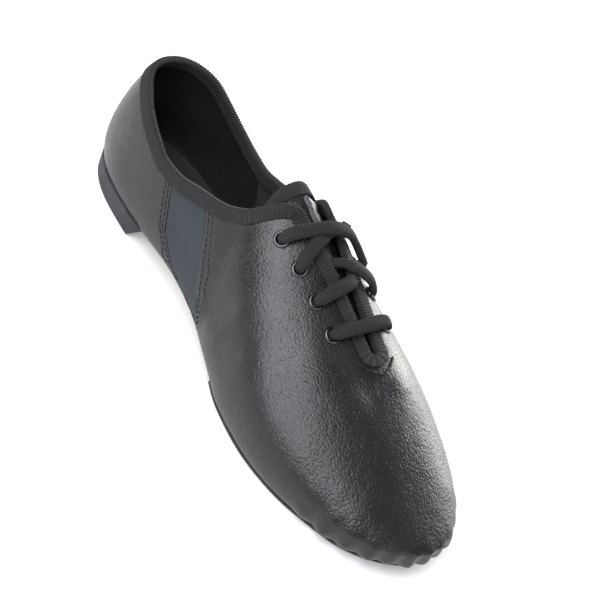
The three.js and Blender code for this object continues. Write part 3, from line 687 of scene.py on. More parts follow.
def woven(name, color, lighter, scale):
    """Cotton tape or lace: twisted yarns over the modelled ribs, with painted shade in the grooves and
    painted light on the crests.
    """
    made = Finish(name, color, 0.82, Sheen_Weight=0.04, Sheen_Roughness=0.45)
    where = made.place()
    yarns = made.cells(where, scale)
    fluff = made.noise(where, scale * 1.7, 3.0)
    height = made.math("SUBTRACT", made.math("MULTIPLY", fluff, 0.7), made.math("MULTIPLY", yarns, 0.6))
    made.set("Normal", made.bump(height, 0.5, 0.00014))
    # The rib attribute paints shade into the grooves and light onto the crests, mixed with random fluff tone.
    rib = made.node("ShaderNodeAttribute", attribute_name="rib").outputs["Fac"]
    tone_and_painted_shade = made.math("ADD", made.range(rib, 0, 0.7, -0.9, 1), made.math("MULTIPLY", fluff, 0.45))
    made.set("Base Color", made.ramp(tone_and_painted_shade, [(0.12, color), (0.95, lighter)]))
    return made.material


def gunmetal():
    made = Finish("gunmetal", (0.10, 0.10, 0.108), 0.3, Metallic=1.0)
    where = made.place()
    made.set("Roughness", made.range(made.noise(where, 700, 3.0), 0.22, 0.42, 0.3, 0.7))
    made.set("Normal", made.bump(made.noise(where, 1500, 2.0), 0.12, 0.0001))
    return made.material


def rubber(name, color, lighter, scale, strength):
    made = Finish(name, color, 0.72)
    where = made.place()
    grain = made.noise(where, scale, 4.0, 0.6)
    made.set("Normal", made.bump(grain, strength, 0.0004))
    made.set("Base Color", made.ramp(made.noise(where, scale * 0.2, 3.0), [(0.3, color), (0.75, lighter)]))
    made.set("Roughness", made.range(grain, 0.6, 0.85, 0.3, 0.7))
    return made.material


def fibreboard():
    made = Finish("tan_fibreboard", (0.33, 0.22, 0.10), 0.82)
    where = made.place((1, 0.35, 1))
    fibres = made.noise(where, 900, 4.0, 0.65)
    made.set("Normal", made.bump(fibres, 0.3, 0.0002))
    made.set("Base Color", made.ramp(fibres, [(0.3, (0.27, 0.17, 0.075)), (0.7, (0.42, 0.29, 0.14))]))
    return made.material


def thread():
    made = Finish("black_thread", (0.006, 0.006, 0.007), 0.75)
    where = made.place()
    made.set("Normal", made.bump(made.noise(where, 4200, 2.0), 0.5, 0.0001))
    made.set("Roughness", made.range(made.noise(where, 900), 0.5, 0.7, 0.3, 0.7))
    return made.material


# Leather colours: the darker one is random tone and painted shade in the grain's valleys, the lighter one the
# grain's plateaus.
LEATHER = leather("black_leather", (0.005, 0.005, 0.006), (0.017, 0.0165, 0.019))
LINING = lining()
ELASTIC = elastic()
# Tape and lace colours: the first is painted shade in the rib grooves, the second painted light on the rib
# crests.
TAPE = woven("ribbed_tape", (0.0015, 0.0015, 0.0015), (0.021, 0.021, 0.023), 2600)
LACE = woven("braided_lace", (0.001, 0.001, 0.0015), (0.016, 0.016, 0.0175), 2200)
GUNMETAL = gunmetal()
OUTSOLE = rubber("black_rubber", (0.010, 0.010, 0.011), (0.022, 0.022, 0.023), 1400, 0.35)
HEEL = rubber("dark_heel_rubber", (0.022, 0.023, 0.025), (0.048, 0.049, 0.053), 900, 0.6)
BOARD = fibreboard()
THREAD = thread()


# Upper

def evenly(first, last, count):
    """Angles round the plan from one share along to another, even along the feather line."""
    dense = np.linspace(float(angle_at(first)), float(angle_at(last)), 400)
    x, y, _, _ = plan_point(dense, 0.0)
    length = np.concatenate([[0], np.cumsum(np.hypot(np.diff(x), np.diff(y)))])
    return np.interp(np.linspace(0, length[-1], count + 1)[:-1], length, dense)


def side_angles():
    mouth = THROAT_MOUTH + (THROAT_END - THROAT_MOUTH) * np.sin(np.linspace(0, 0.5, 9)[:-1] * math.pi)
    return np.concatenate([
        evenly(0.0, THROAT_LEAVE, 76),
        evenly(THROAT_LEAVE, THROAT_CORNER, 14),
        evenly(THROAT_CORNER, THROAT_MOUTH, 36),
        angle_at(mouth),
        evenly(THROAT_END, PLEATS_FROM, 16),
        evenly(PLEATS_FROM, 1.0, 90),
    ])


def upper_points():
    side = side_angles()
    v = np.concatenate([side, [math.pi], -side[1:][::-1], [-1e-9]])
    margin = []
    for share in np.linspace(1, 0, 6)[:-1]:
        x, distance, _, _ = plan_point(v, -MARGIN_WIDTH * share)
        flat = np.stack([x, FEATHER_LENGTH / 2 - distance, feather_height(distance)], -1)
        margin.append(flat + LAST_ORIGIN)
    low = [surface(v, np.full(v.shape, math.radians(a))) for a in np.linspace(-90, 0, 15)[:-1]]
    top = edge_phi(v)
    high = [surface(v, top * t) for t in np.linspace(0, 1, 46)]
    return np.array(margin + low + high)


# Soft folds of the leather. A path's places are a share along the last and the turn over
# the foot in degrees: 0 on the ridge, -90 and 90 on the lateral and medial widest lines.
# Depth is negative for a trough; depth and width are in millimetres.
FOLDS = [
    {"path": [(0.715, -14), (0.76, -12), (0.82, -8), (0.88, -6)], "depth": -1.3, "width": 8},
    {"path": [(0.72, 12), (0.78, 14), (0.85, 16)], "depth": 0.7, "width": 8},
    {"path": [(0.40, -46), (0.43, -66), (0.455, -84)], "depth": -1.1, "width": 6},
    {"path": [(0.50, -48), (0.53, -62), (0.57, -78)], "depth": 0.6, "width": 9},
    {"path": [(0.60, -40), (0.66, -46), (0.72, -56)], "depth": -0.6, "width": 9},
    {"path": [(0.50, 50), (0.54, 64), (0.58, 78)], "depth": -0.7, "width": 8},
    {"path": [(0.10, -52), (0.20, -60), (0.28, -66)], "depth": -0.4, "width": 7},
    {"path": [(0.455, -92), (0.49, -80), (0.52, -66)], "depth": -1.5, "width": 6},
    {"path": [(0.475, -96), (0.51, -88), (0.55, -80)], "depth": 0.8, "width": 5},
    {"path": [(0.53, -92), (0.57, -82), (0.60, -70)], "depth": -1.0, "width": 6},
]


def fold_place(along, turn):
    v = np.where(np.asarray(turn) < 0, -1.0, 1.0) * angle_at(along)
    return surface(v, math.pi / 2 - np.radians(np.abs(turn)))


def near_path(co, path):
    """Distance of each place to a path, and how far along it the nearest point is."""
    distance = np.full(len(co), 1e9)
    share = np.zeros(len(co))
    for i, point in enumerate(path):
        d = np.linalg.norm(co - point, axis=1)
        nearer = d < distance
        distance[nearer] = d[nearer]
        share[nearer] = i / max(len(path) - 1, 1)
    return distance, share


def top_edge_line():
    v = np.concatenate([-side_angles()[::-1], side_angles()])
    v = v[along_at(np.abs(v)) <= THROAT_END]
    return surface(v, edge_phi(v))


def folds_relief(co):
    relief = np.zeros(len(co))
    for fold in FOLDS:
        knots = np.array(fold["path"], float)
        t = np.linspace(0, len(knots) - 1, 40)
        along = np.interp(t, np.arange(len(knots)), knots[:, 0])
        turn = np.interp(t, np.arange(len(knots)), knots[:, 1])
        distance, share = near_path(co, fold_place(along, turn))
        ends = np.sin(np.clip(share, 0.02, 0.98) * math.pi) ** 0.5
        relief += fold["depth"] * MM * ends * np.exp(-(distance / (fold["width"] * MM)) ** 2)
    return relief


def ripple(co, wavelength, seed):
    shift = Vector((seed, -seed, seed * 0.5))
    return np.array([noise.noise(Vector(p) / wavelength + shift) for p in co])


def gore_place(v, rise, margin):
    """Angles of a place in the inset, its height a share of the way up."""
    low = climb(v, np.full(np.shape(v), GORE_LOW), -margin)
    high = climb(v, edge_phi(v), margin - GORE_TUCK)
    return v, mix(low, high, rise)


def gore_edge(side, name, rise, outward):
    """Share along of the inset's edge at a rise, moved outwards by a length."""
    below, above = np.clip(rise - 0.04, 0, 1), np.clip(rise + 0.04, 0, 1)
    start = surface(*gore_place(side * angle_at(column(GORE, name, below, "rise")), below, 0))
    end = surface(*gore_place(side * angle_at(column(GORE, name, above, "rise")), above, 0))
    lean = (end[..., 1] - start[..., 1]) / np.hypot(end[..., 0] - start[..., 0], end[..., 2] - start[..., 2])
    return column(GORE, name, rise, "rise") + outward * np.hypot(1, lean) / FEATHER_LENGTH


def gore_points(side, grow):
    rise = np.linspace(0, 1, 34) ** 1.25
    rear = gore_edge(side, "rear", rise, -grow)
    front = gore_edge(side, "front", rise, grow)
    share = np.linspace(0, 1, 24)[None, :]
    v = side * angle_at(mix(rear[:, None], front[:, None], share))
    rises = np.broadcast_to(rise[:, None], v.shape)
    return gore_place(v, rises, grow)


def gore_outline(side, outward):
    """Places beside the inset's upright edges."""
    rise = np.linspace(0.0, 1.0, 60) ** 1.2
    lines = []
    for name, sign in (("rear", -1), ("front", 1)):
        v = side * angle_at(gore_edge(side, name, rise, sign * outward))
        lines.append(surface(*gore_place(v, rise, 0)))
    return lines


def thick_patch(name, points, outer, inner):
    """Closed body over a patch of the last, between two lifts."""
    v, phi = points
    n = normal_at(surface, v, phi)
    base = surface(v, phi)
    over, under = base + n * outer, (base + n * inner)[:, ::-1]
    ring = np.concatenate([over, under, over[:, :1]], axis=1)
    piece = grid_piece(name, ring)
    close_ends(piece)
    return piece


def eyelet_places():
    found = []
    for row, along in enumerate(EYELET_ROWS):
        for side, name in BOTH_SIDES:
            v = np.array(side * float(angle_at(along)))
            phi = climb(v, edge_phi(v), -EYELET_FROM_EDGE)
            at, n = surface(v, phi), normal_at(surface, v, phi)
            found.append((f"eyelet_{name}_{row + 1}", Vector(at), Vector(n)))
    return found


def cut(piece, cutter):
    apply_modifier(piece, "BOOLEAN", object=cutter, operation="DIFFERENCE", solver="EXACT")
    bpy.data.objects.remove(cutter)


def stand_on(piece, at, n):
    """Moves a piece modelled on the Z axis to a place, its axis along the normal."""
    turn = Vector((0, 0, 1)).rotation_difference(n).to_matrix().to_4x4()
    piece.data.transform(Matrix.Translation(at) @ turn)


def eyelet_holes():
    cutters = []
    for name, at, n in eyelet_places():
        deselect()
        bpy.ops.mesh.primitive_cylinder_add(vertices=28, radius=EYELET_BARREL_RADIUS + 0.1 * MM, depth=8 * MM)
        stand_on(bpy.context.object, at, n)
        cutters.append(bpy.context.object)
    return joined("eyelet_holes", cutters)


def smooth_vamp(piece):
    """Evens out the leather where the last's columns meet over the toes."""
    co = places(piece)
    along = 0.5 - (co[:, 1] - LAST_ORIGIN[1]) / FEATHER_LENGTH
    weight = smoothstep((along - 0.66) / 0.06) * smoothstep((co[:, 2] - 0.026) / 0.010)
    group = piece.vertex_groups.new(name="vamp")
    for i in np.nonzero(weight > 0)[0]:
        group.add([int(i)], float(weight[i]), "REPLACE")
    apply_modifier(piece, "SMOOTH", factor=0.5, iterations=40, vertex_group="vamp")
    piece.vertex_groups.clear()


# Dips pressed in by the two rows of seam beside each inset, in millimetres: how far out from
# the inset's edge, how deep, how wide.
SEAM_DIPS = [(0.4, 0.35, 1.3), (2.6, 0.22, 1.2)]
COLLAR_CALM = 9 * MM


def upper_relief(co):
    """How far the leather stands off its smooth shape: folds, ripples and seams, which fade
    out towards the collar."""
    relief = folds_relief(co) + 0.22 * MM * ripple(co, 0.016, 3.1) + 0.08 * MM * ripple(co, 0.006, 8.7)
    for side, _ in BOTH_SIDES:
        for outward, depth, width in SEAM_DIPS:
            for line in gore_outline(side, outward * MM):
                distance, _ = near_path(co, line)
                relief -= depth * MM * np.exp(-(distance / (width * MM)) ** 2)
    distance, _ = near_path(co, top_edge_line())
    return relief * smoothstep(distance / COLLAR_CALM)


def make_upper():
    """Makes the leather shell and returns its outer face for the stitches to lie on."""
    piece = grid_piece("leather_upper", upper_points(), merge=0.2 * MM)
    face_outwards(piece)
    smooth_vamp(piece)
    co, n = places(piece), normals(piece)
    place_all(piece, co + n * upper_relief(co)[:, None])
    outer = BVHTree.FromObject(piece, bpy.context.evaluated_depsgraph_get())
    apply_modifier(piece, "SOLIDIFY", thickness=WALL, offset=-1, material_offset=1, use_quality_normals=True)
    for side, name in BOTH_SIDES:
        cut(piece, thick_patch(f"window_{name}", gore_points(side, GORE_GAP), 2 * MM, -WALL - MM))
    cut(piece, eyelet_holes())
    smooth_by_angle(piece, 40)
    finish_piece(piece, "leather", [LEATHER, LINING], "upper")
    return outer


def make_elastic(side, name):
    points = gore_points(side, -0.05 * MM)
    piece = thick_patch(f"elastic_{name}", points, -GORE_RECESS, -GORE_RECESS - GORE_THICKNESS)
    smooth_by_angle(piece, 40)
    finish_piece(piece, "elastic", [ELASTIC, LINING], f"gore_{name}")
    for polygon in piece.data.polygons:
        polygon.material_index = int(polygon.normal.x * side < -0.2)
    return piece


# Binding tape

def tape_section(wall):
    """Section of the folded tape: depth down from the edge, lift off the outer face, and
    how strongly the ribs show."""
    outer, inner = TAPE_PROUD, -wall - TAPE_PROUD
    fold = [
        (-TAPE_PROUD * math.sin(a), mix(inner, outer, 0.5 + 0.5 * math.cos(a)), 1.0)
        for a in np.linspace(0, math.pi, 8)
    ]
    return [
        (TAPE_WIDTH, TAPE_LIE, 0.0),
        (TAPE_WIDTH + 0.08 * MM, TAPE_LIE + 0.35 * MM, 0.6),
        (TAPE_WIDTH - 0.12 * MM, outer - 0.05 * MM, 1.0),
        (TAPE_WIDTH * 0.85, outer, 1.0),
        (TAPE_WIDTH * 0.6, outer, 1.0),
        (TAPE_WIDTH * 0.3, outer, 1.0),
        *fold,
        (TAPE_WIDTH * 0.3, inner, 1.0),
        (TAPE_WIDTH * 0.6, inner, 1.0),
        (TAPE_WIDTH - 0.12 * MM, inner, 1.0),
        (TAPE_WIDTH, inner + 0.3 * MM, 0.5),
        (TAPE_WIDTH, -wall - TAPE_LIE, 0.0),
        (0.0, -wall - TAPE_LIE, 0.0),
        (-TAPE_LIE, -wall * 0.5, 0.0),
        (0.0, TAPE_LIE, 0.0),
        (TAPE_WIDTH * 0.5, TAPE_LIE, 0.0),
    ]


def ribbed_tape(name, form, a, b, wall, closed):
    """Tape folded over an edge of a form; a and b are dense places along the edge."""
    path = np.concatenate([form(a, b), a[:, None], b[:, None]], axis=1)
    path = resampled(path, RIB_PITCH / 4)
    if closed:
        path = path[:-1]
    a, b = path[:, 3], path[:, 4]
    at = form(a, b)
    if closed:
        before, after = np.roll(at, 1, 0), np.roll(at, -1, 0)
    else:
        before = np.concatenate([at[:1], at[:-1]])
        after = np.concatenate([at[1:], at[-1:]])
    da, db = slopes(form, a, b)
    n = unit(np.cross(db, da))
    down = unit(np.cross(n, unit(after - before)))
    aa, ab, bb = (da * da).sum(-1), (da * db).sum(-1), (db * db).sum(-1)
    det = aa * bb - ab * ab
    ribs = np.cos(np.arange(len(a)) * math.pi / 2)
    rib = RIB_HEIGHT * ribs
    rings = []
    for depth, lift, share in tape_section(wall):
        raised = lift + math.copysign(1, lift + wall / 2) * rib * share
        if depth <= 0:
            drop = depth - rib * share * (depth < -0.3 * MM)
            rings.append(at + down * drop[:, None] + n * raised[:, None])
            continue
        ra, rb = depth * (down * da).sum(-1), depth * (down * db).sum(-1)
        sa, sb = (ra * bb - rb * ab) / det, (rb * aa - ra * ab) / det
        rings.append(lifted(form, a + sa, b + sb, raised))
    rings.append(rings[0])
    points = np.array(rings)
    if closed:
        points = np.concatenate([points, points[:, :1]], axis=1)
        ribs = np.append(ribs, ribs[0])
    piece = grid_piece(name, points, ribs=ribs)
    if not closed:
        close_ends(piece)
    smooth_by_angle(piece, 60)
    return piece


def make_collar_binding():
    side = side_angles()
    side = side[along_at(side) <= THROAT_END]
    end = float(angle_at(THROAT_END))
    v = np.concatenate([[-end], -side[::-1], side[1:], [end]])
    piece = ribbed_tape("collar_binding_tape", surface, v, edge_phi(v), WALL, True)
    return finish_piece(piece, "tape", [TAPE], "collar_binding")


# Tongue

def tongue_form(across, along):
    """Outer face of the tongue: share of TONGUE_HALF_WIDTH across, share of the length."""
    along = np.clip(along, 0.3, 0.74)
    across = np.asarray(across, float)
    v, phi = beside_ridge(along, across * TONGUE_HALF_WIDTH)
    front = smoothstep((along - THROAT_END - 0.02) / 0.02)
    depth = mix(TONGUE_DEPTH, TONGUE_FRONT_DEPTH, front)
    return surface(v, phi) - normal_at(surface, v, phi) * depth[..., None]


def make_tongue():
    """Soft leather sheet with a rounded edge, a little fuller in its middle."""
    along = np.concatenate([
        np.linspace(TONGUE["along"][0], 0.43, 24)[:-1],
        np.linspace(0.43, TONGUE["along"][-1], 60),
    ])
    width = column(TONGUE, "width", along)
    part = np.sin(np.linspace(-0.5, 0.5, 27) * math.pi)
    grid_along = np.broadcast_to(along[:, None], (len(along), len(part)))
    across = part[None, :] * width[:, None]
    edge = np.sqrt(np.clip(1 - part ** 2, 0, 1))[None, :]
    wrinkle = 0.25 * MM * np.sin(grid_along * 260 + across * 2.5) * edge
    thick = TONGUE_THICKNESS / 2
    top = lifted(tongue_form, across, grid_along, -thick + (thick * edge ** 0.35) + wrinkle)
    under = lifted(tongue_form, across, grid_along, -thick - (thick * edge ** 0.35) + wrinkle * 0.6)
    ring = np.concatenate([top, under[:, ::-1][:, 1:]], axis=1)
    piece = grid_piece("tongue_leather", ring)
    close_ends(piece)
    smooth_by_angle(piece, 50)
    return finish_piece(piece, "leather", [LEATHER], "tongue")


def make_tongue_binding():
    side_along = np.linspace(THROAT_CORNER, TONGUE["along"][0], 120)
    width = column(TONGUE, "width", side_along)
    crown = np.linspace(width[-1], -width[-1], 40)[1:-1]
    across = np.concatenate([width, crown, -width[::-1]])
    along = np.concatenate([side_along, np.full(len(crown), TONGUE["along"][0]), side_along[::-1]])
    piece = ribbed_tape("tongue_binding_tape", tongue_form, across, along, TONGUE_THICKNESS, False)
    return finish_piece(piece, "tape", [TAPE], "tongue_binding")


# Sole

def sole_point(side, along, overhang, lift):
    v = side * np.maximum(angle_at(along), 1e-9)
    x, distance, _, _ = plan_point(v, overhang)
    z = feather_height(distance) + lift
    return np.stack([x, FEATHER_LENGTH / 2 - distance, np.broadcast_to(z, x.shape)], -1) + LAST_ORIGIN


def sole_plate(name, along, profile, across=15):
    """Plate that follows the feather line: the profile runs down its side, as pairs of
    overhang and lift."""
    lateral = [sole_point(-1, along, o, z) for o, z in profile]
    medial = [sole_point(1, along, o, z) for o, z in profile]
    inner = np.linspace(0, 1, across)[1:-1]
    top = [mix(lateral[0], medial[0], t) for t in inner]
    floor = [mix(medial[-1], lateral[-1], t) for t in inner]
    ring = np.array([*top, *medial, *floor, *lateral[::-1], top[0]])
    piece = grid_piece(name, np.swapaxes(ring, 0, 1))
    close_ends(piece)
    smooth_by_angle(piece, 45)
    return piece


def make_insole():
    low, high = WALL + GAP, WALL + GAP + INSOLE_THICKNESS
    inset, r = -INSOLE_INSET, 0.4 * MM
    profile = [(inset - r, high), (inset, high - r), (inset, low + r), (inset - r, low)]
    along = along_at(np.linspace(0, math.pi, 120))
    piece = sole_plate("insole_board", along, profile)
    finish_piece(piece, "insole", [BOARD, LINING], "insole")
    for polygon in piece.data.polygons:
        polygon.material_index = int(polygon.normal.z > 0.5)
    return piece


def make_forefoot_sole():
    top, floor = -GAP, -GAP - OUTSOLE_THICKNESS
    profile = [
        (OUTSOLE_OVERHANG - 0.3 * MM, top),
        (OUTSOLE_OVERHANG, top - 0.3 * MM),
        (OUTSOLE_OVERHANG - 0.1 * MM, floor + 0.9 * MM),
        (OUTSOLE_OVERHANG - OUTSOLE_TAPER, floor + 0.35 * MM),
        (OUTSOLE_OVERHANG - OUTSOLE_TAPER - 0.35 * MM, floor),
    ]
    first = float(angle_at(OUTSOLE_REAR))
    along = along_at(np.linspace(first, math.pi, 120))
    piece = sole_plate("forefoot_sole", along, profile, across=21)
    return finish_piece(piece, "outsole", [OUTSOLE], "forefoot_outsole")


def make_heel():
    """Block whose front slants back towards the floor, its edges rounded."""
    share = np.concatenate([np.linspace(0, 0.05, 10)[:-1], np.linspace(0.05, 1, 26)])
    straight = [(depth, 0) for depth in (0.03, 0.2, 0.4, 0.6, 0.8, 0.95)]
    levels = [(0.0, 0.5), *straight, (0.99, 0.25), (1.0, 0.7)]
    rings = []
    for depth, inset in levels:
        overhang = HEEL_OVERHANG - HEEL_TAPER * depth - inset * MM
        reach = mix(HEEL_BREAST_TOP, HEEL_BREAST_FLOOR, depth) - inset * MM / FEATHER_LENGTH
        lift = -GAP - HEEL_HEIGHT * depth
        medial = sole_point(1, share * reach, overhang, lift)
        lateral = sole_point(-1, share * reach, overhang, lift)
        front = [mix(medial[-1], lateral[-1], t) for t in np.linspace(0, 1, 12)[1:-1]]
        rings.append(np.concatenate([medial, front, lateral[::-1]]))
    piece = grid_piece("heel_block", np.array(rings))
    close_ends(piece)
    smooth_by_angle(piece, 35)
    return finish_piece(piece, "heel", [HEEL], "heel")


# Eyelets

def eyelet_model():
    """One eyelet on the Z axis: domed flange, barrel and the rolled rim behind."""
    r, b, f = EYELET_BORE_RADIUS, EYELET_BARREL_RADIUS, EYELET_FLANGE_RADIUS
    back = -WALL - GAP - 0.4 * MM
    profile = [
        (r, back + 0.2 * MM), (r, -0.2 * MM), (r + 0.12 * MM, 0.5 * MM), (r + 0.4 * MM, 0.86 * MM),
        (r + 0.75 * MM, 0.98 * MM), (f - 0.4 * MM, 0.78 * MM), (f - 0.08 * MM, 0.42 * MM), (f, 0.12 * MM),
        (f - 0.1 * MM, 0.05 * MM), (b, 0.05 * MM), (b, back + 0.3 * MM), (b + 0.5 * MM, back + 0.1 * MM),
        (b + 0.45 * MM, back - 0.15 * MM), (r + 0.2 * MM, back - 0.1 * MM), (r, back + 0.2 * MM),
    ]
    turn = np.linspace(0, 2 * math.pi, 41)
    points = np.array([
        [(radius * math.cos(a), radius * math.sin(a), z) for radius, z in profile] for a in turn
    ])
    piece = grid_piece("eyelet_model", points)
    smooth_by_angle(piece, 50)
    return piece


def make_eyelets():
    model = eyelet_model()
    for name, at, n in eyelet_places():
        piece = linked(f"{name}_ring", model.data.copy())
        stand_on(piece, at, n)
        finish_piece(piece, "eyelet", [GUNMETAL], name)
    bpy.data.objects.remove(model)


# Lace

def eyelet_across(row, side):
    return side * (throat_half(np.array(EYELET_ROWS[row - 1]), np.array(side)) + EYELET_FROM_EDGE) / MM


def over_eyelet(row, side, lift, thick=3.0):
    return (EYELET_ROWS[row - 1], float(eyelet_across(row, side)), lift, thick)


# The lace's route: share along the last, millimetres across from the ridge (negative is
# lateral), millimetres off the last and its thickness there.
LACE_ROUTE = [
    over_eyelet(1, LATERAL, -3.4, 1.6),
    over_eyelet(1, LATERAL, 0.3, 3.0),
    (0.481, -15.0, 3.2, 3.2),
    (0.486, -9, 3.6, 3.2),
    (0.492, 0, 4.0, 3.2),
    (0.501, 9, 4.0, 3.2),
    (0.513, 15, 3.8, 3.2),
    (0.527, 18.4, 3.6, 3.2),
    (0.538, 19.4, 3.2, 3.2),
    over_eyelet(2, MEDIAL, 0.4, 3.0),
    over_eyelet(2, MEDIAL, -2.9, 1.7),
    (0.556, 14, -2.75, 1.6),
    (0.564, 9.0, -2.2, 2.0),
    (0.571, 5.0, 0.2, 3.0),
    (0.578, 0.5, 2.4, 3.2),
    (0.584, -6, 3.6, 3.2),
    (0.589, -13, 3.2, 3.0),
    over_eyelet(3, LATERAL, 0.3, 3.0),
    over_eyelet(3, LATERAL, -2.9, 1.6),
    (0.612, -15.6, -2.75, 1.6),
    (0.632, -15, -2.75, 1.6),
    over_eyelet(4, LATERAL, -2.9, 1.6),
    over_eyelet(4, LATERAL, 0.2, 3.0),
    (0.649, -12, 3.2, 3.1),
    (0.650, -5, 3.6, 3.2),
    (0.649, 4, 3.7, 3.2),
    (0.648, 11.5, 3.2, 3.1),
    over_eyelet(4, MEDIAL, 0.3, 3.0),
    over_eyelet(4, MEDIAL, -2.9, 1.6),
    (0.632, 16.0, -2.75, 1.6),
    (0.610, 16.4, -2.75, 1.6),
    over_eyelet(3, MEDIAL, -2.9, 1.6),
    over_eyelet(3, MEDIAL, 0.3, 3.0),
    (0.582, 13.5, 3.3, 3.0),
    (0.568, 9.0, 3.6, 3.2),
    (0.552, 4.0, 2.0, 3.2),
    (0.543, 0.0, -0.9, 2.4),
    (0.540, -6.5, -2.7, 1.7),
    (0.536, -12.5, -2.8, 1.6),
    over_eyelet(2, LATERAL, -2.9, 1.6),
    over_eyelet(2, LATERAL, 0.3, 3.0),
    (0.522, -14.0, 3.2, 3.0),
    (0.511, -9.0, 3.2, 3.1),
    (0.501, -3.0, 1.8, 3.0),
    (0.495, 3.0, -0.8, 2.4),
    (0.489, 11.0, -2.7, 1.7),
    over_eyelet(1, MEDIAL, -2.9, 1.7),
    over_eyelet(1, MEDIAL, 0.4, 3.0),
    (0.473, 21.0, 3.0, 3.2),
    (0.468, 20.0, 5.6, 3.2),
]


def catmull_rom(knots, per_span):
    """Smooth curve through all its knots, as dense rows."""
    k = np.concatenate([[2 * knots[0] - knots[1]], knots, [2 * knots[-1] - knots[-2]]])
    out = []
    for i in range(1, len(k) - 2):
        p0, p1, p2, p3 = k[i - 1], k[i], k[i + 1], k[i + 2]
        pairs = ((p0, p1), (p1, p2), (p2, p3))
        d0, d1, d2 = (max(np.linalg.norm((b - a)[:3]), 1e-6) ** 0.5 for a, b in pairs)
        m1 = (p1 - p0) / d0 - (p2 - p0) / (d0 + d1) + (p2 - p1) / d1
        m2 = (p2 - p1) / d1 - (p3 - p1) / (d1 + d2) + (p3 - p2) / d2
        t = np.linspace(0, 1, per_span + 1)[:-1, None]
        out.append(hermite(d1, t, p1, p2, m1, m2))
    out.append(knots[-1:])
    return np.concatenate(out)


def lace_rows(route):
    """Places, upward directions and thicknesses along a route."""
    rows = np.array(route, float)
    v, phi = beside_ridge(rows[:, 0], rows[:, 1] * MM)
    n = normal_at(surface, v, phi)
    at = surface(v, phi) + n * (rows[:, 2] * MM)[:, None]
    dense = catmull_rom(np.concatenate([at, n, rows[:, 3:] * MM, rows[:, 2:3] * MM], axis=1), 12)
    return resampled(dense, 0.25 * MM)


def make_lace(name, route, *nodes):
    """Flat ribbed cord along the route, squeezed where it lies under the leather."""
    rows = lace_rows(route)
    at, up, thick = rows[:, :3], rows[:, 3:6], rows[:, 6]
    along = unit(np.gradient(at, axis=0))
    across = unit(np.cross(along, up))
    up = np.cross(across, along)
    ribs = np.cos(np.arange(len(at)) * math.pi / 2)
    rib = 1 + 0.08 * ribs
    turn = np.linspace(0, 2 * math.pi, 19)
    half_width = LACE_WIDTH / 2 * mix(0.72, 1.0, smoothstep((rows[:, 7] - 0.4 * MM) / (2.2 * MM)))
    rings = []
    for a in turn:
        c, s = math.cos(a), math.sin(a)
        x = math.copysign(abs(c) ** 0.8, c) * half_width * rib
        y = math.copysign(abs(s) ** 0.9, s) * thick / 2 * rib
        rings.append(at + across * x[:, None] + up * y[:, None])
    piece = grid_piece(name, np.array(rings), ribs=ribs)
    close_ends(piece)
    smooth_by_angle(piece, 70)
    return finish_piece(piece, "lace", [LACE], *nodes)


# Stitching

def stitch_model():
    deselect()
    bpy.ops.mesh.primitive_uv_sphere_add(segments=8, ring_count=6, radius=1)
    model = bpy.context.object
    model.data.transform(Matrix.Diagonal((1.05 * MM, 0.27 * MM, 0.24 * MM, 1)))
    return model


def stitch_line(name, lines, outer, pitch=2.6 * MM, lift=0.04 * MM, size=1.0):
    """Stitches along lines over the leather, each set on the nearest point of its outer face."""
    model = stitch_model()
    base = places(model) * size
    faces = [list(p.vertices) for p in model.data.polygons]
    bpy.data.objects.remove(model)
    vertices, polygons = [], []
    for line in lines:
        path = resampled(np.asarray(line), pitch)
        tangents = np.gradient(path, axis=0)
        for point, tangent in zip(path[:-1] + np.diff(path, axis=0) / 2, tangents):
            at, n, _, _ = outer.find_nearest(Vector(point))
            x = Vector(tangent).normalized()
            y = n.cross(x).normalized()
            x = y.cross(n)
            turn = np.array([x, y, n]).T
            start = len(vertices) * len(base)
            vertices.append(base @ turn.T + np.array(at + n * lift))
            polygons.extend([[start + i for i in face] for face in faces])
    mesh = bpy.data.meshes.new(name)
    mesh.from_pydata(np.concatenate(vertices).tolist(), [], polygons)
    piece = linked(name, mesh)
    choose(piece)
    bpy.ops.object.shade_smooth()
    return finish_piece(piece, "leather", [THREAD])


# Bar tack under the throat: share along and millimetres across from the ridge.
BAR_TACK = [
    [(0.706, -9.6), (0.756, 0.0)],
    [(0.756, 0.0), (0.706, 9.6)],
]


def make_stitching(outer):
    for side, name in BOTH_SIDES:
        lines = [line for outward in (1.7 * MM, 3.5 * MM) for line in gore_outline(side, outward)]
        stitch_line(f"inset_stitching_{name}", lines, outer)
    tack = []
    for ends in BAR_TACK:
        t = np.linspace(0, 1, 12)
        knots = np.array(ends)
        v, phi = beside_ridge(mix(knots[0, 0], knots[1, 0], t), mix(knots[0, 1], knots[1, 1], t) * MM)
        tack.append(surface(v, phi))
    stitch_line("throat_bar_tack", tack, outer, pitch=3.3 * MM, lift=0.25 * MM, size=1.9)


# Stage

def make_floor():
    deselect()
    bpy.ops.mesh.primitive_plane_add(size=8)
    floor = bpy.context.object
    floor.name = "floor"
    made = Finish("pale_floor", (0.86, 0.86, 0.87), 0.6, Emission_Color=(1, 1, 1, 1), Emission_Strength=0.22)
    floor.data.materials.append(made.material)


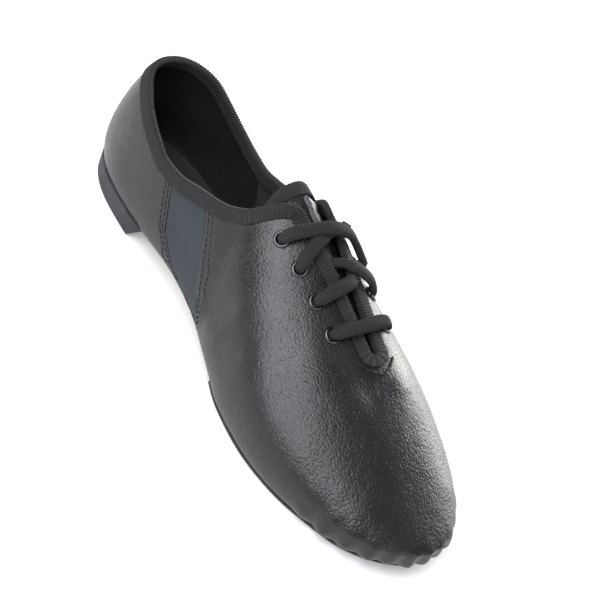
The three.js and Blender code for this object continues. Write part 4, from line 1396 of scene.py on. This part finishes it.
def add_light(name, place, size, power, color=(1, 1, 1)):
    data = bpy.data.lights.new(name, "AREA")
    data.shape = "RECTANGLE"
    data.size, data.size_y = size
    data.energy = power
    data.color = color
    light = linked(name, data)
    light.location = place
    light.rotation_euler = (Vector((0, 0, 0.04)) - Vector(place)).to_track_quat("-Z", "Y").to_euler()


def make_lights():
    """Soft light from behind each side, so that the leather facing the camera stays dark."""
    add_light("outer_softbox", (-0.80, -0.02, 0.98), (1.0, 1.2), 25.0, (0.95, 0.95, 1.0))
    add_light("inner_softbox", (1.25, 0.36, 0.40), (1.2, 0.76), 30.0, (1.0, 0.985, 0.95))
    add_light("toe_softbox", (0.15, -1.25, 0.5), (0.7, 0.4), 3.0)
    add_light("heel_softbox", (0.1, 1.2, 0.6), (0.9, 0.5), 4.0)
    world = bpy.data.worlds.new("studio")
    world.use_nodes = True
    world.node_tree.nodes["Background"].inputs[0].default_value = (0.94, 0.95, 1.0, 1)
    world.node_tree.nodes["Background"].inputs[1].default_value = 0.13
    bpy.context.scene.world = world
    bpy.context.scene.view_settings.view_transform = "Standard"


# The photograph's view of the shoe: the place is in the last's frame, the roll in degrees
# and the lens in millimetres.
CAMERA_PLACE = Vector((-0.5540, -0.3808, 0.5857))
CAMERA_AIM = Vector((0.004, -0.004, 0.035))
CAMERA_ROLL = 31.9
CAMERA_LENS = 126


def make_camera():
    data = bpy.data.cameras.new("camera")
    data.lens = CAMERA_LENS
    data.sensor_width = 36
    data.clip_start = 0.01
    camera = linked("camera", data)
    place = CAMERA_PLACE + Vector(LAST_ORIGIN)
    level = (CAMERA_AIM - place).to_track_quat("-Z", "Y")
    roll = Matrix.Rotation(math.radians(CAMERA_ROLL), 4, "Z")
    camera.matrix_world = Matrix.Translation(place) @ level.to_matrix().to_4x4() @ roll
    bpy.context.scene.camera = camera


make_camera()
make_lights()
make_floor()
outer_face = make_upper()
for side, name in BOTH_SIDES:
    make_elastic(side, name)
make_collar_binding()
make_tongue()
make_tongue_binding()
make_insole()
make_forefoot_sole()
make_heel()
make_eyelets()
make_lace("lace", LACE_ROUTE, "lace_bar", "lace_cross_low", "lace_cross_high")
make_stitching(outer_face)
